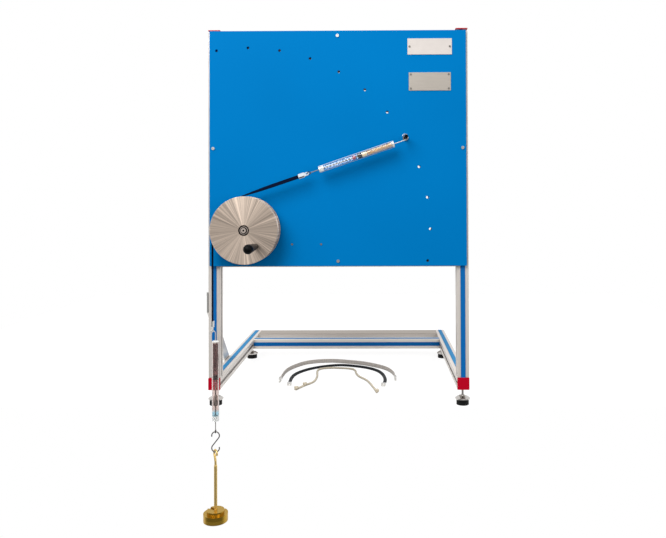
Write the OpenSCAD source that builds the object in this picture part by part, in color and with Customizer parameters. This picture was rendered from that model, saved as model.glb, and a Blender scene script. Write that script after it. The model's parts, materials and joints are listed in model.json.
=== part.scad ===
// Belt friction apparatus: a stand of slotted profiles carries a panel with an
// arc of peg holes, a turned pulley with a crank grip, and a belt that runs over
// the pulley between two spring balances. A hanger with slotted weights pulls the
// lower balance. Three spare belts lie on the bench between the side beams.
// Millimetres, X right, Y back, Z up. The origin is the middle of the base on
// the bench plane, so the weights hang below zero in front of the bench edge.

/* [Stand] */
// Width over both uprights
frame_w = 650; // [560:1:760]
// Length of the side beams
base_d = 600; // [560:1:760]
// Height of the uprights' upper ends above the bench
upright_top = 934; // [915:1:1050]
// Height of the side beams' undersides above the bench
beam_z = 40; // [34:0.5:50]
// Side of the square profile
prof = 30; // [28:0.5:34]
// Corner radius of the profile
prof_r = 2; // [1:0.1:3]
// Opening of a profile slot
slot_w = 8; // [6:0.1:9]
// Thickness of the lips beside a slot
slot_lip = 2.2; // [1.6:0.1:3]
// Bore in the core of a profile
core_d = 8; // [6:0.1:9]
// Distance from the uprights' front to the rear cross beam
rear_cross_gap = 452; // [400:1:480]
// Depth of the plain bar at the rear ends of the side beams
rear_bar_d = 60; // [40:1:80]
// Width of a slot cover strip
cover_w = 11.5; // [10:0.1:16]
// Height of a slot cover above its beam
cover_t = 0.8; // [0.5:0.1:1.5]
// Depth of a slot cover's tongue
cover_tongue = 2.6; // [1.5:0.1:4]
// Thickness of an end cap's plate
cap_t = 2.2; // [1.6:0.1:4]
// Length of an end cap's stem inside the core bore
cap_stem = 9; // [5:0.5:10]
// Height of the left upright's cap above its profile
left_cap_gap = 3; // [0:0.5:6]
// Height of the right upright's cap above its profile
right_cap_gap = 5.5; // [0:0.5:6]

/* [Brace] */
// Width of the flat bar
brace_w = 37.5; // [30:0.5:50]
// Thickness of the flat bar
brace_t = 4; // [2.5:0.1:6]
// Slope of the flat bar
brace_ang = 42; // [35:1:50]
// Height of the bar's upper edge at the uprights' front
brace_top = 283; // [250:1:320]

/* [Panel] */
// Width of the panel
panel_w = 638; // [630:1:650]
// Height of the panel
panel_h = 585; // [575:1:587]
// Thickness of the panel
panel_t = 10; // [6:0.5:14]
// Height of the panel's lower edge
panel_z = 349; // [346:1:360]
// Bore of a peg hole
hole_d = 7; // [6:0.1:9]
// Distance of the peg holes from the pulley's axis
hole_r = 452; // [435:1:460]
// Angle of the lowest peg hole
hole_from = -10; // [-10:1:-8]
// Angle between neighbouring peg holes
hole_step = 10; // [9:0.5:10]
// Number of peg holes
hole_count = 12; // [8:1:12]
// Index of the hole that holds the peg
peg_hole = 4; // [3:1:5]
// Outside diameter of the bush behind a peg hole
bush_d = 12; // [11:0.5:16]
// Length of the bush behind a peg hole
bush_len = 22; // [10:1:30]
// Head of a panel screw
screw_head_d = 7.6; // [7:0.1:12]
// Shank of a panel screw
screw_d = 5; // [4:0.1:6]
// Head of a plate screw
small_head_d = 5; // [3.5:0.1:6]
// Width of the white plate
white_w = 110; // [90:1:118]
// Height of the white plate
white_h = 40; // [30:1:44]
// Width of the silver plate
silver_w = 104; // [80:1:118]
// Height of the silver plate
silver_h = 45; // [35:1:50]
// Thickness of both plates
plate_t = 1.5; // [0.8:0.1:3]

/* [Pulley] */
// Position of the pulley's axis along X
pulley_x = -223; // [-226:0.5:-210]
// Height of the pulley's axis
pulley_z = 440; // [435:0.5:455]
// Outer radius of the pulley
pulley_r = 82; // [80:0.5:84]
// Width of the pulley
pulley_w = 46; // [44:0.5:50]
// Gap between the panel and the pulley
pulley_gap = 12; // [9:0.5:18]
// Thickness of the web behind the front face
web_t = 16; // [15:0.5:22]
// Radial thickness of the rim
rim_t = 14; // [12:0.5:20]
// Outer radius of the hub
hub_r = 22; // [18:0.5:28]
// Depth of the flat track below the rim
track_drop = 2.3; // [1.5:0.1:3.5]
// Width of the V groove at the rim
vee_w = 11; // [9:0.5:12]
// Depth of the V groove
vee_depth = 7; // [5:0.5:8]
// Diameter of the rope groove
rope_groove_d = 6.8; // [5:0.1:7.4]
// Diameter of the axle
axle_d = 10; // [8:0.1:12]
// Outside diameter of a ball bearing
bearing_d = 26; // [24:0.5:30]
// Width of a ball bearing
bearing_w = 8; // [6:0.5:9]

/* [Crank] */
// Distance of the grip from the pulley's axis
crank_r = 48; // [42:0.5:54]
// Angle of the grip at rest
crank_ang = -52; // [-60:1:-40]
// Diameter of the crank spindle
spindle_d = 7; // [6:0.1:8]
// Length of the grip
grip_len = 105; // [90:1:115]
// Diameter of the grip at its foot
grip_foot_d = 13.5; // [11.5:0.5:15]
// Diameter of the grip at its rounded tip
grip_tip_d = 22.5; // [19:0.5:24]

/* [Belt] */
// Width of the flat belt
belt_w = 12; // [10:0.5:13]
// Thickness of the flat belt
belt_t = 2; // [1.5:0.1:3]
// Length of the belt that hangs below the pulley's axis
belt_drop = 234; // [200:1:260]
// Thickness of a belt clip's cheeks
clip_cheek = 2; // [1.2:0.1:3]
// Length of a belt clip's grip
clip_grip = 15; // [12:0.5:20]
// Diameter of the hole in a belt clip
clip_hole_d = 6; // [5.5:0.1:7]
// Turn of the upper run about its own line, from the pulley to the clip
belt_twist = 42; // [0:1:60]

/* [Balances] */
// Length of a balance tube
tube_len = 191; // [184:1:198]
// Outside diameter of a balance tube
tube_d = 17; // [16.5:0.1:20]
// Wall of a balance tube
tube_wall = 1.5; // [0.8:0.1:1.6]
// Diameter of the wire of hooks and eyes
wire_d = 2; // [1.6:0.1:2.2]
// Mean radius of a balance hook
hook_r = 7; // [6.5:0.1:8]
// Straight wire of the upper hook
upper_shank = 31; // [26:0.5:36]
// Straight wire of the lower hook
lower_shank = 18; // [15:0.5:24]
// Mean radius of a rod's eye
eye_r = 4; // [3.8:0.1:5]
// Distance of a rod's eye from its tube
rod_out = 26; // [22:0.5:30]
// Diameter of a balance rod inside its tube
rod_d = 3.6; // [2.5:0.1:4]
// Height of the carrier's top above the tube's rod end
carrier_top = 123; // [118:1:128]
// Diameter of the red pointer bead
pointer_d = 9.6; // [8:0.1:12]
// Length of the red pointer bead
pointer_h = 7.5; // [5:0.5:9]
// Number of curls in a balance spring
spring_curls = 26; // [18:1:28]
// Mean diameter of a balance spring
spring_d = 11; // [8:0.1:11.2]
// Wire of a balance spring
spring_wire = 1.4; // [1:0.05:1.5]

/* [Peg] */
// Diameter of the peg's shank
peg_d = 6; // [5:0.1:7]
// Diameter of the peg's collar
peg_collar_d = 14; // [12:0.5:18]
// Diameter of the peg's head
peg_head_d = 9; // [8:0.1:11]

/* [Weights] */
// Wire of the S-shaped hook
s_wire = 2.8; // [2.2:0.1:3.2]
// Mean radius of the S-shaped hook's bends
s_r = 9.3; // [8.5:0.1:10]
// Height of the S-shaped hook
s_h = 51.5; // [48:0.5:55]
// Wire of the hanger's hook
crook_wire = 4.6; // [4:0.1:5]
// Mean radius of the hanger's hook
crook_r = 8; // [7.5:0.1:10]
// Turn of the hanger's hook out of the fore-and-aft plane
crook_turn = 38; // [20:1:40]
// Diameter of the hanger's rod
hanger_d = 8; // [7:0.1:10]
// Length of the hanger's rod
hanger_len = 126; // [110:0.5:150]
// Diameter of the hanger's base and of the large weight
large_d = 59; // [50:0.5:70]
// Height of the hanger's base and of the large weight
large_h = 9; // [6:0.5:12]
// Diameter of the small weight
small_d = 42; // [32:0.5:48]
// Height of the small weight
small_h = 7.5; // [5:0.5:10]

/* [Feet] */
// Diameter of a rubber pad
pad_d = 31; // [26:0.5:36]
// Height of a rubber pad
pad_h = 13.5; // [10:0.5:16]
// Diameter of a foot's disc
disc_d = 37; // [34:0.5:46]
// Height of a foot's disc
disc_h = 2.5; // [2:0.1:4]
// Diameter of a foot's stud
stud_d = 6; // [5:0.1:8]
// Height of the dome on a foot's disc
dome_h = 7; // [4:0.5:9]
// Distance of the rear feet from the uprights' front
rear_foot_gap = 505; // [490:1:515]

/* [Spare belts] */
// Length of the spare V belt's wide face across
spare_vee_w = 10; // [8:0.1:12]
// Height of the spare V belt
spare_vee_h = 6; // [4:0.1:8]
// Diameter of the spare rope
rope_d = 6.4; // [5:0.1:7]
// Diameter of the rope's knots
knot_d = 13; // [11:0.5:15]

/* [Hidden] */
$fn = 64;
// Clearances: between pieces that stay put, around turning and sliding pieces,
// between the belt and its track, and in the links of the hanging chain
fit = 0.1;
run_fit = 0.05;
air = 0.3;
link_gap = 0.5;
crook_gap = 0.8;

front = -base_d / 2;
beam_top = beam_z + prof;
side_x = frame_w / 2 - prof / 2;
inner_w = frame_w - 2 * prof;
beam_mid = beam_z + prof / 2;
upright_y = front + prof / 2;
slot_in_w = prof * 0.55;
slot_depth = prof * 0.3;
slot_floor_w = prof * 0.3;
beam_over = 2.5;
top_beam_z = panel_z + panel_h + beam_over - prof / 2;
low_beam_z = panel_z - air * 10 + prof / 2;
rear_cross_y = front + rear_cross_gap + prof / 2;
panel_front = front - panel_t;
panel_mid = panel_z + panel_h / 2;
bush_play = 0.6;
bush_flange = 3;

brace_h = brace_w / cos(brace_ang);
brace_low = beam_z + prof * 0.15;
brace_screw_d = 5;
brace_head_d = 9;
brace_pitch = 18;

plate_mid_x = 229;
white_z = 893;
silver_z = 806;
plate_edge = 5;
small_screw_x = [-114, -42];
small_screw_z = 403;
head_h = 2.4;
small_head_h = 1.2;
small_shank = 6;

pulley_back = panel_front - pulley_gap;
pulley_front = pulley_back - pulley_w;
belt_y = pulley_front + pulley_w * 0.565;
track_w = belt_w + 3;
track_r = pulley_r - track_drop;
belt_in_r = track_r + air;
belt_mid_r = belt_in_r + belt_t / 2;
bearing_in = 1;
seat = bearing_in + bearing_w;
rope_groove_at = pulley_w - 6;
vee_at = 9;
spindle_depth = 11;
spindle_collar_h = 3;
grip_bore_end = 8;
nut_af = 17;
washer_d = 20;
washer_h = 2;
nut_h = 8;
axle_tail = washer_h + nut_h + 3;
axle_tip = pulley_front + bearing_in - air;
cap_screw_d = 12;
cap_screw_h = 4;
cap_screw_shank = 5;
socket_d = 5.6;

// The upper belt line leaves the pulley and passes the peg one hook radius below
// its middle, so the balance's bent hook lies round the peg
peg_ang = hole_from + peg_hole * hole_step;
line_ang = peg_ang - asin((belt_mid_r + hook_r) / hole_r);
line_peg = hole_r * cos(peg_ang - line_ang);
peg_x = pulley_x + hole_r * cos(peg_ang);
peg_z = pulley_z + hole_r * sin(peg_ang);
hook_in = hook_r - wire_d / 2;
cap_flange = 2;
hook_plug = 3;
rod_plug = 12;
upper_ring = line_peg - (hook_in - peg_d / 2 - air);
upper_foot = upper_ring - upper_shank - cap_flange - tube_len;
upper_eye = upper_foot - rod_out;
eye_in = eye_r - wire_d / 2;
clip_web = 3;
clip_neck = 3.5;
clip_plate_t = 1.6;
clip_hold = 2;
clip_back = clip_hole_d + clip_neck + clip_hold;
upper_edge = upper_eye - eye_in + link_gap;
upper_belt = upper_edge - clip_back;
twist_steps = 60;

belt_x = pulley_x - belt_mid_r;
belt_end = pulley_z - belt_drop;
lower_edge = belt_end - clip_back;
lower_ring = lower_edge - hook_in + link_gap;
chain_x = belt_x + hook_r;
lower_foot = lower_ring - lower_shank - cap_flange - tube_len;
lower_eye = lower_foot - rod_out;
tube_in_d = tube_d - 2 * tube_wall;
carrier_h = 23.5;
carrier_d = tube_in_d - 1.6;
pointer_gap = 5.5;
pointer_at = carrier_top - carrier_h - pointer_gap - pointer_h;
spring_len = tube_len - hook_plug - carrier_top;

eye_low = lower_eye - eye_r;
s_top = eye_low + wire_d / 2 + link_gap + s_wire / 2;
s_half = s_h / 2 - s_wire / 2 - s_r;
s_mid = s_top - s_r - s_half;
s_lean = asin(s_r / s_half);
s_low = s_mid - s_half - s_r;
crook_bend = 40;
stem_d = crook_wire + 1;
neck_h = 5;
crook_top = s_low + s_wire / 2 + crook_gap + crook_wire / 2;
crook_z = crook_top - crook_r;
crook_swing = acos(crook_bend / (crook_r + crook_bend));
rod_top = crook_z - (crook_r + crook_bend) * sin(crook_swing);
base_top = rod_top - hanger_len;
slot_turn = 60;

foot_x = side_x;
foot_y = [front + prof / 2, front + rear_foot_gap];
stud_top = beam_z + 14;
stud_hole = 22;
dome_r = (disc_d * disc_d / 4 + dome_h * dome_h) / (2 * dome_h);
foot_hub_d = stud_d + 2.5;
foot_hub_h = 2;

peg_front = belt_y - 9;
peg_collar_h = 4;
peg_head_h = 3;

// Routes of the spare belts on the bench, as points that the belts pass
flat_route = [[-178, -85], [-172, 20], [-140, 92], [-102, 125], [-47, 136],
              [10, 122], [66, 96], [120, 46], [143, -10], [148, -70]];
vee_route = [[-147, -118], [-150, -57], [-142, -7], [-115, 40], [-70, 77],
             [-16, 94], [39, 78], [80, 50], [107, 8], [119, -56], [113, -126]];
rope_route = [[-122, -165], [-103, -128], [-82, -92], [-77, -39], [-81, 26],
              [-68, 53], [-28, 59], [24, 43], [36, -9], [45, -39], [68, -82],
              [84, -141], [95, -192]];
flat_line = curve(flat_route, 6);
vee_line = curve(vee_route, 5);
rope_line = curve(rope_route, 5);
rope_sides = 8;
vee_top_w = spare_vee_w * 0.6;
cup_wall = 1.2;
cup_len = 14;

aluminium = "#C8C2BA";
steel = "#B5B5B2";
blue = "#0A74BE";
cover_blue = "#0857AE";
red = "#BD031F";
black = "#15191B";
white = "#EDEDEA";
clear = "#DCE8EE";
brass = "#C49A3E";
cream = "#E6DCC0";

// Smooth curves through listed points, and triangle meshes swept along them
function pick(p, i) = p[max(0, min(len(p) - 1, i))];
function curve_at(p, i, t) =
    let (a = pick(p, i - 1), b = p[i], c = pick(p, i + 1), d = pick(p, i + 2))
    0.5 * (2 * b + (c - a) * t + (2 * a - 5 * b + 4 * c - d) * t * t
           + (3 * b - a - 3 * c + d) * t * t * t);
function curve(p, steps) =
    [for (i = [0:len(p) - 2], k = [0:steps - 1]) curve_at(p, i, k / steps),
     p[len(p) - 1]];
function heading(p, i) =
    let (v = pick(p, i + 1) - pick(p, i - 1)) v / norm(v);
function route_len(p) = norm_sum([for (i = [1:len(p) - 1]) norm(p[i] - p[i - 1])]);
function norm_sum(v) = v * [for (x = v) 1];
function flat_rings(p, section) =
    [for (i = [0:len(p) - 1])
        let (h = heading(p, i))
        [for (q = section) [p[i].x - q.x * h.y, p[i].y + q.x * h.x, q.y]]];
function coil_points(r, len, curls, stub) =
    let (n = curls * 8, rise = len - 2 * stub)
    [[r, 0, 0],
     for (i = [0:n]) [r * cos(45 * i), r * sin(45 * i), stub + rise * i / n],
     [r, 0, len]];
function coil_rings(p, wire) =
    [for (i = [0:len(p) - 1])
        let (t = heading(p, i), out = [p[i].x, p[i].y, 0] / norm([p[i].x, p[i].y]))
        [for (a = [0:60:300])
            p[i] + wire / 2 * (cos(a) * out + sin(a) * cross(t, out))]];
function coil_gap(p, wire) =
    min([for (i = [1:len(p) - 8], j = [i + 6:min(i + 10, len(p) - 2)])
        norm(p[i] - p[j])]) - wire;

// Share of the belt's turn at a share of its length, quicker near the pulley
function turned(t) = 1 - pow(1 - t, 5) * (1 + 5 * t);

module sweep(rings) {
    n = len(rings);
    m = len(rings[0]);
    sides = [for (i = [0:n - 2], j = [0:m - 1])
        let (k = (j + 1) % m, a = i * m, b = (i + 1) * m)
        each [[a + j, b + j, b + k], [a + j, b + k, a + k]]];
    start = [for (j = [1:m - 2]) [0, j, j + 1]];
    stop = [for (j = [1:m - 2]) [(n - 1) * m, (n - 1) * m + j + 1, (n - 1) * m + j]];
    polyhedron([for (r = rings) each r], concat(sides, start, stop));
}

// Placing helpers: a child's Z axis turned to the front, to the back, or along
// the upper belt line from the point where the belt leaves the pulley
module to_front() {
    rotate([90, 0, 0]) children();
}

module to_back() {
    rotate([-90, 0, 0]) children();
}

module on_line(s) {
    translate([pulley_x - belt_mid_r * sin(line_ang), belt_y,
               pulley_z + belt_mid_r * cos(line_ang)])
        rotate([0, 90 - line_ang, 0])
            translate([0, 0, s]) children();
}

module on_chain(z) {
    translate([chain_x, belt_y, z]) children();
}

module pipe(d_out, d_in, h) {
    difference() {
        cylinder(d = d_out, h = h);
        translate([0, 0, -1]) cylinder(d = d_in, h = h + 2);
    }
}

// Round wire bent to an arc in the XZ plane
module wire_arc(r, d, from, to) {
    rotate([90, 0, 0])
        rotate([0, 0, from])
            rotate_extrude(angle = to - from)
                translate([r, 0]) circle(d = d);
}

// Slotted profile
module rounded_square(side, r) {
    square([side, side - 2 * r], center = true);
    square([side - 2 * r, side], center = true);
    for (sx = [-1, 1], sy = [-1, 1])
        translate([sx * (side / 2 - r), sy * (side / 2 - r)]) circle(r = r);
}

module slot_2d() {
    polygon([[prof / 2 + 1, -slot_w / 2], [prof / 2 + 1, slot_w / 2],
             [prof / 2 - slot_lip, slot_w / 2], [prof / 2 - slot_lip, slot_in_w / 2],
             [prof / 2 - slot_depth * 0.5, slot_in_w / 2],
             [prof / 2 - slot_depth, slot_floor_w / 2],
             [prof / 2 - slot_depth, -slot_floor_w / 2],
             [prof / 2 - slot_depth * 0.5, -slot_in_w / 2],
             [prof / 2 - slot_lip, -slot_in_w / 2],
             [prof / 2 - slot_lip, -slot_w / 2]]);
}

module profile(length) {
    linear_extrude(length)
        difference() {
            rounded_square(prof, prof_r);
            for (a = [0:90:270]) rotate(a) slot_2d();
            circle(d = core_d);
        }
}

module upright(side) {
    color(aluminium)
        translate([side * side_x, upright_y, beam_top])
            profile(upright_top - beam_top);
}

module left_upright() {
    upright(-1);
}

module right_upright() {
    upright(1);
}

// The feet's studs stand in bores through the beam's underside
module side_beam(side) {
    color(aluminium)
        difference() {
            translate([side * side_x, front, beam_mid])
                to_back() profile(base_d);
            for (y = foot_y)
                translate([side * foot_x, y, beam_z - 1])
                    cylinder(d = stud_d + 2 * run_fit, h = stud_hole + 1);
        }
}

module left_side_beam() {
    side_beam(-1);
}

module right_side_beam() {
    side_beam(1);
}

module cross_beam(y, z) {
    color(aluminium)
        translate([-inner_w / 2, y, z])
            rotate([0, 90, 0]) profile(inner_w);
}

module rear_cross_beam() {
    cross_beam(rear_cross_y, beam_mid);
}

module top_cross_beam() {
    cross_beam(upright_y, top_beam_z);
}

module bottom_cross_beam() {
    cross_beam(upright_y, low_beam_z);
}

module rear_bar() {
    color(aluminium)
        translate([-inner_w / 2, front + base_d - rear_bar_d, beam_z])
            cube([inner_w, rear_bar_d, prof]);
}

// A cover strip sits on a slot with its tongue between the lips
module cover(length) {
    linear_extrude(length) {
        translate([-cover_w / 2, 0]) square([cover_w, cover_t]);
        translate([-slot_w / 2 + fit, -cover_tongue])
            square([slot_w - 2 * fit, cover_tongue + cover_t / 2]);
    }
}

module slot_covers() {
    color(cover_blue) {
        for (side = [-1, 1]) {
            translate([side * side_x, front, beam_top])
                rotate([0, 0, 180]) cover(panel_z - beam_top);
            translate([side * side_x, front + base_d, beam_top])
                rotate([90, 0, 0]) cover(base_d - prof);
        }
        translate([-inner_w / 2, rear_cross_y - prof / 2, beam_mid])
            rotate([0, 90, 0]) rotate([0, 0, 180]) cover(inner_w);
        translate([-inner_w / 2, rear_cross_y, beam_top])
            rotate([90, 0, 90]) cover(inner_w);
    }
}

module end_cap(gap) {
    translate([0, 0, gap])
        linear_extrude(cap_t) rounded_square(prof, prof_r);
    translate([0, 0, -cap_stem])
        cylinder(d = core_d - 2 * fit, h = cap_stem + gap + cap_t / 2);
}

module upright_caps() {
    color(red) {
        translate([-side_x, upright_y, upright_top]) end_cap(left_cap_gap);
        translate([side_x, upright_y, upright_top]) end_cap(right_cap_gap);
    }
}

module side_beam_caps() {
    color(red)
        for (side = [-1, 1]) {
            translate([side * side_x, front, beam_mid]) to_front() end_cap(0);
            translate([side * side_x, front + base_d, beam_mid])
                to_back() end_cap(0);
        }
}

// Screw with its head on z = 0 and a hexagon socket
module screw(d, head_d, head, shank) {
    difference() {
        cylinder(d = head_d, h = head);
        translate([0, 0, head * 0.4])
            cylinder(d = head_d * 0.5, h = head, $fn = 6);
    }
    translate([0, 0, -shank]) cylinder(d = d, h = shank + head * 0.3);
}

// Flat bar on the outside of the left upright and the left side beam
module brace_holes(d, h) {
    rise = brace_top - brace_h / 2 - prof / 2 * tan(brace_ang);
    run = (brace_top - brace_h / 2 - beam_mid) / tan(brace_ang);
    for (k = [-0.5, 0.5]) {
        translate([0, upright_y, rise + k * brace_pitch])
            rotate([0, -90, 0]) cylinder(d = d, h = h);
        translate([0, front + run + k * brace_pitch, beam_mid])
            rotate([0, -90, 0]) cylinder(d = d, h = h);
    }
}

module left_brace() {
    low_run = (brace_top - brace_low) / tan(brace_ang);
    near_run = (brace_top - brace_h - brace_low) / tan(brace_ang);
    color(steel)
        difference() {
            translate([-frame_w / 2 - brace_t, front, 0])
                rotate([90, 0, 90])
                    linear_extrude(brace_t)
                        polygon([[0, brace_top], [0, brace_top - brace_h],
                                 [near_run, brace_low], [low_run, brace_low]]);
            translate([-frame_w / 2 + 1, 0, 0])
                brace_holes(brace_screw_d + 2 * fit, brace_t + 2);
        }
}

module brace_screws() {
    shank = slot_depth * 0.8;
    color(steel) {
        translate([-frame_w / 2 + shank, 0, 0])
            brace_holes(brace_screw_d, shank + brace_t + head_h / 2);
        translate([-frame_w / 2 - brace_t, 0, 0]) brace_holes(brace_head_d, head_h);
    }
}

// Panel with the arc of peg holes about the pulley's axis
module panel_screw_spots() {
    for (z = [low_beam_z, top_beam_z]) translate([0, panel_front, z]) children();
    for (side = [-1, 1]) translate([side * side_x, panel_front, panel_mid]) children();
}

module white_spots() {
    for (side = [-1, 1])
        translate([plate_mid_x + side * (white_w / 2 - plate_edge),
                   panel_front, white_z]) children();
}

module silver_spots() {
    for (sx = [-1, 1], sz = [-1, 1])
        translate([plate_mid_x + sx * (silver_w / 2 - plate_edge), panel_front,
                   silver_z + sz * (silver_h / 2 - plate_edge)]) children();
}

module lone_spots() {
    for (x = small_screw_x) translate([x, panel_front, small_screw_z]) children();
}

module through(d) {
    translate([0, -5, 0]) to_back() cylinder(d = d, h = panel_t + 10);
}

module peg_hole_spots(from, to) {
    for (k = [from:to]) {
        a = hole_from + k * hole_step;
        translate([pulley_x + hole_r * cos(a), panel_front,
                   pulley_z + hole_r * sin(a)]) children();
    }
}

module panel() {
    small_shank_d = small_head_d * 0.55;
    color(blue)
        difference() {
            translate([-panel_w / 2, panel_front, panel_z])
                cube([panel_w, panel_t, panel_h]);
            peg_hole_spots(0, hole_count - 1) through(hole_d);
            translate([pulley_x, panel_front, pulley_z]) through(axle_d + 2 * fit);
            panel_screw_spots() through(screw_d + 2 * fit);
            white_spots() through(small_shank_d + 2 * fit);
            silver_spots() through(small_shank_d + 2 * fit);
            lone_spots() through(small_shank_d + 2 * fit);
        }
}

// Bushes behind the holes that have no profile behind them
module peg_bushes() {
    color(black)
        peg_hole_spots(1, hole_count - 2)
            translate([0, panel_t, 0])
                to_back() {
                    pipe(bush_d + 6, hole_d + bush_play, bush_flange);
                    pipe(bush_d, hole_d + bush_play, bush_len);
                }
}

module panel_screws() {
    color(steel)
        panel_screw_spots()
            to_front() screw(screw_d, screw_head_d, head_h, panel_t + slot_depth * 0.6);
}

module small_screws() {
    small_shank_d = small_head_d * 0.55;
    color(steel) {
        white_spots() translate([0, -plate_t, 0]) to_front()
            screw(small_shank_d, small_head_d, small_head_h, small_shank);
        silver_spots() translate([0, -plate_t, 0]) to_front()
            screw(small_shank_d, small_head_d, small_head_h, small_shank);
        lone_spots() to_front()
            screw(small_shank_d, small_head_d, small_head_h, small_shank);
    }
}

module plate(w, h, z) {
    translate([plate_mid_x - w / 2, panel_front - plate_t, z - h / 2])
        cube([w, plate_t, h]);
}

module white_plate() {
    color(white)
        difference() {
            plate(white_w, white_h, white_z);
            white_spots() through(small_head_d * 0.55 + 2 * fit);
        }
}

module silver_plate() {
    color(steel)
        difference() {
            plate(silver_w, silver_h, silver_z);
            silver_spots() through(small_head_d * 0.55 + 2 * fit);
        }
}

// Axle, fixed through the panel with a nut behind it
module axle() {
    color(steel)
        translate([pulley_x, axle_tip, pulley_z])
            difference() {
                to_back() cylinder(d = axle_d, h = front + axle_tail - axle_tip);
                translate([0, -1, 0])
                    to_back() cylinder(d = cap_screw_shank + 2 * fit, h = 13);
            }
}

module axle_fasteners() {
    color(steel) {
        translate([pulley_x, front, pulley_z]) to_back() {
            pipe(washer_d, axle_d + 2 * fit, washer_h);
            translate([0, 0, washer_h])
                difference() {
                    cylinder(d = nut_af / cos(30), h = nut_h, $fn = 6);
                    translate([0, 0, -1])
                        cylinder(d = axle_d + 2 * fit, h = nut_h + 2);
                }
        }
        translate([pulley_x, axle_tip, pulley_z]) to_front() {
            difference() {
                cylinder(d = cap_screw_d, h = cap_screw_h);
                translate([0, 0, cap_screw_h * 0.3])
                    cylinder(d = socket_d, h = cap_screw_h, $fn = 6);
            }
            translate([0, 0, -10]) cylinder(d = cap_screw_shank, h = 11);
        }
    }
}

module axle_spacer() {
    color(steel)
        translate([pulley_x, panel_front, pulley_z])
            to_front()
                pipe(axle_d + 4, axle_d + 2 * fit, pulley_gap + bearing_in - air);
}

// Each bearing has a shallow shield groove in both faces
module bearing() {
    ring_in = axle_d / 2 + run_fit;
    ring_out = bearing_d / 2;
    land = (ring_out - ring_in) * 0.25;
    groove = 0.6;
    rotate_extrude()
        difference() {
            translate([ring_in, 0]) square([ring_out - ring_in, bearing_w]);
            for (z = [-1, bearing_w - groove])
                translate([ring_in + land, z])
                    square([ring_out - ring_in - 2 * land, groove + 1]);
        }
}

module bearings() {
    color(black)
        for (z = [bearing_in, pulley_w - bearing_in - bearing_w])
            translate([pulley_x, pulley_front + z, pulley_z]) to_back() bearing();
}

// Pulley: V groove, flat track and rope groove in one rim, dished at the back
module pulley_2d() {
    bore_r = axle_d / 2 + 4;
    seat_r = bearing_d / 2 + run_fit / 2;
    edge = 1;
    belt_at = belt_y - pulley_front;
    difference() {
        polygon([[seat_r, 0], [pulley_r - edge, 0], [pulley_r, edge],
                 [pulley_r, pulley_w - edge], [pulley_r - edge, pulley_w],
                 [pulley_r - rim_t, pulley_w], [pulley_r - rim_t, web_t],
                 [hub_r, web_t], [hub_r, pulley_w], [seat_r, pulley_w],
                 [seat_r, pulley_w - seat], [bore_r, pulley_w - seat],
                 [bore_r, seat], [seat_r, seat]]);
        polygon([[pulley_r + 1, vee_at - vee_w / 2], [pulley_r, vee_at - vee_w / 2],
                 [pulley_r - vee_depth, vee_at - vee_w / 6],
                 [pulley_r - vee_depth, vee_at + vee_w / 6],
                 [pulley_r, vee_at + vee_w / 2], [pulley_r + 1, vee_at + vee_w / 2]]);
        translate([track_r, belt_at - track_w / 2])
            square([track_drop + 1, track_w]);
        translate([pulley_r, rope_groove_at]) circle(d = rope_groove_d);
    }
}

module on_crank(y) {
    translate([pulley_x + crank_r * cos(crank_ang), y,
               pulley_z + crank_r * sin(crank_ang)]) children();
}

module pulley() {
    color(aluminium)
        difference() {
            translate([pulley_x, pulley_front, pulley_z])
                to_back() rotate_extrude() pulley_2d();
            on_crank(pulley_front - 1)
                to_back() cylinder(d = spindle_d + 2 * fit, h = spindle_depth + 1);
        }
}

module crank_spindle() {
    reach = spindle_collar_h + grip_len - grip_bore_end - air;
    color(steel) {
        on_crank(pulley_front + spindle_depth)
            to_front() cylinder(d = spindle_d, h = spindle_depth + reach);
        on_crank(pulley_front)
            to_front() cylinder(d = spindle_d + 5, h = spindle_collar_h);
    }
}

module crank_grip() {
    body = grip_len - grip_tip_d / 2;
    color(black)
        on_crank(pulley_front - spindle_collar_h - air) to_front()
            difference() {
                union() {
                    cylinder(d1 = grip_foot_d, d2 = grip_tip_d, h = body);
                    translate([0, 0, body]) sphere(d = grip_tip_d);
                }
                translate([0, 0, -1])
                    cylinder(d = spindle_d + 2 * run_fit,
                             h = grip_len - grip_bore_end + 1);
            }
}

// Peg in one hole of the arc
module anchor_peg() {
    color(steel)
        translate([peg_x, panel_front, peg_z]) {
            to_back() cylinder(d = hole_d - 2 * fit, h = panel_t + 4);
            to_front() cylinder(d = peg_collar_d, h = peg_collar_h);
            to_front()
                difference() {
                    union() {
                        cylinder(d = peg_d, h = panel_front - peg_front);
                        translate([0, 0, panel_front - peg_front - peg_head_h])
                            cylinder(d = peg_head_d, h = peg_head_h);
                    }
                    translate([0, 0, panel_front - peg_front - peg_head_h / 2])
                        cylinder(d = peg_d * 0.6, h = peg_head_h, $fn = 6);
                }
        }
}

// Belt over the pulley and its two straight runs
module belt_wrap() {
    color(black)
        translate([pulley_x, belt_y, pulley_z])
            rotate([90, 0, 0])
                rotate([0, 0, 90 + line_ang])
                    rotate_extrude(angle = 90 - line_ang)
                        translate([belt_in_r, -belt_w / 2]) square([belt_t, belt_w]);
}

// The upper run turns about its line and is straight inside the clip
module belt_upper_run() {
    turn_len = upper_belt - clip_grip;
    section = [[-belt_t / 2, -belt_w / 2], [belt_t / 2, -belt_w / 2],
               [belt_t / 2, belt_w / 2], [-belt_t / 2, belt_w / 2]];
    rings = [for (z = [for (k = [0:twist_steps]) turn_len * k / twist_steps, upper_belt])
        let (a = belt_twist * turned(min(1, z / turn_len)))
        [for (q = section)
            [q.x * cos(a) - q.y * sin(a), q.x * sin(a) + q.y * cos(a), z]]];
    color(black) on_line(0) sweep(rings);
}

module belt_lower_run() {
    color(black)
        translate([belt_x - belt_t / 2, belt_y - belt_w / 2, belt_end])
            cube([belt_t, belt_w, belt_drop]);
}

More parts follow.
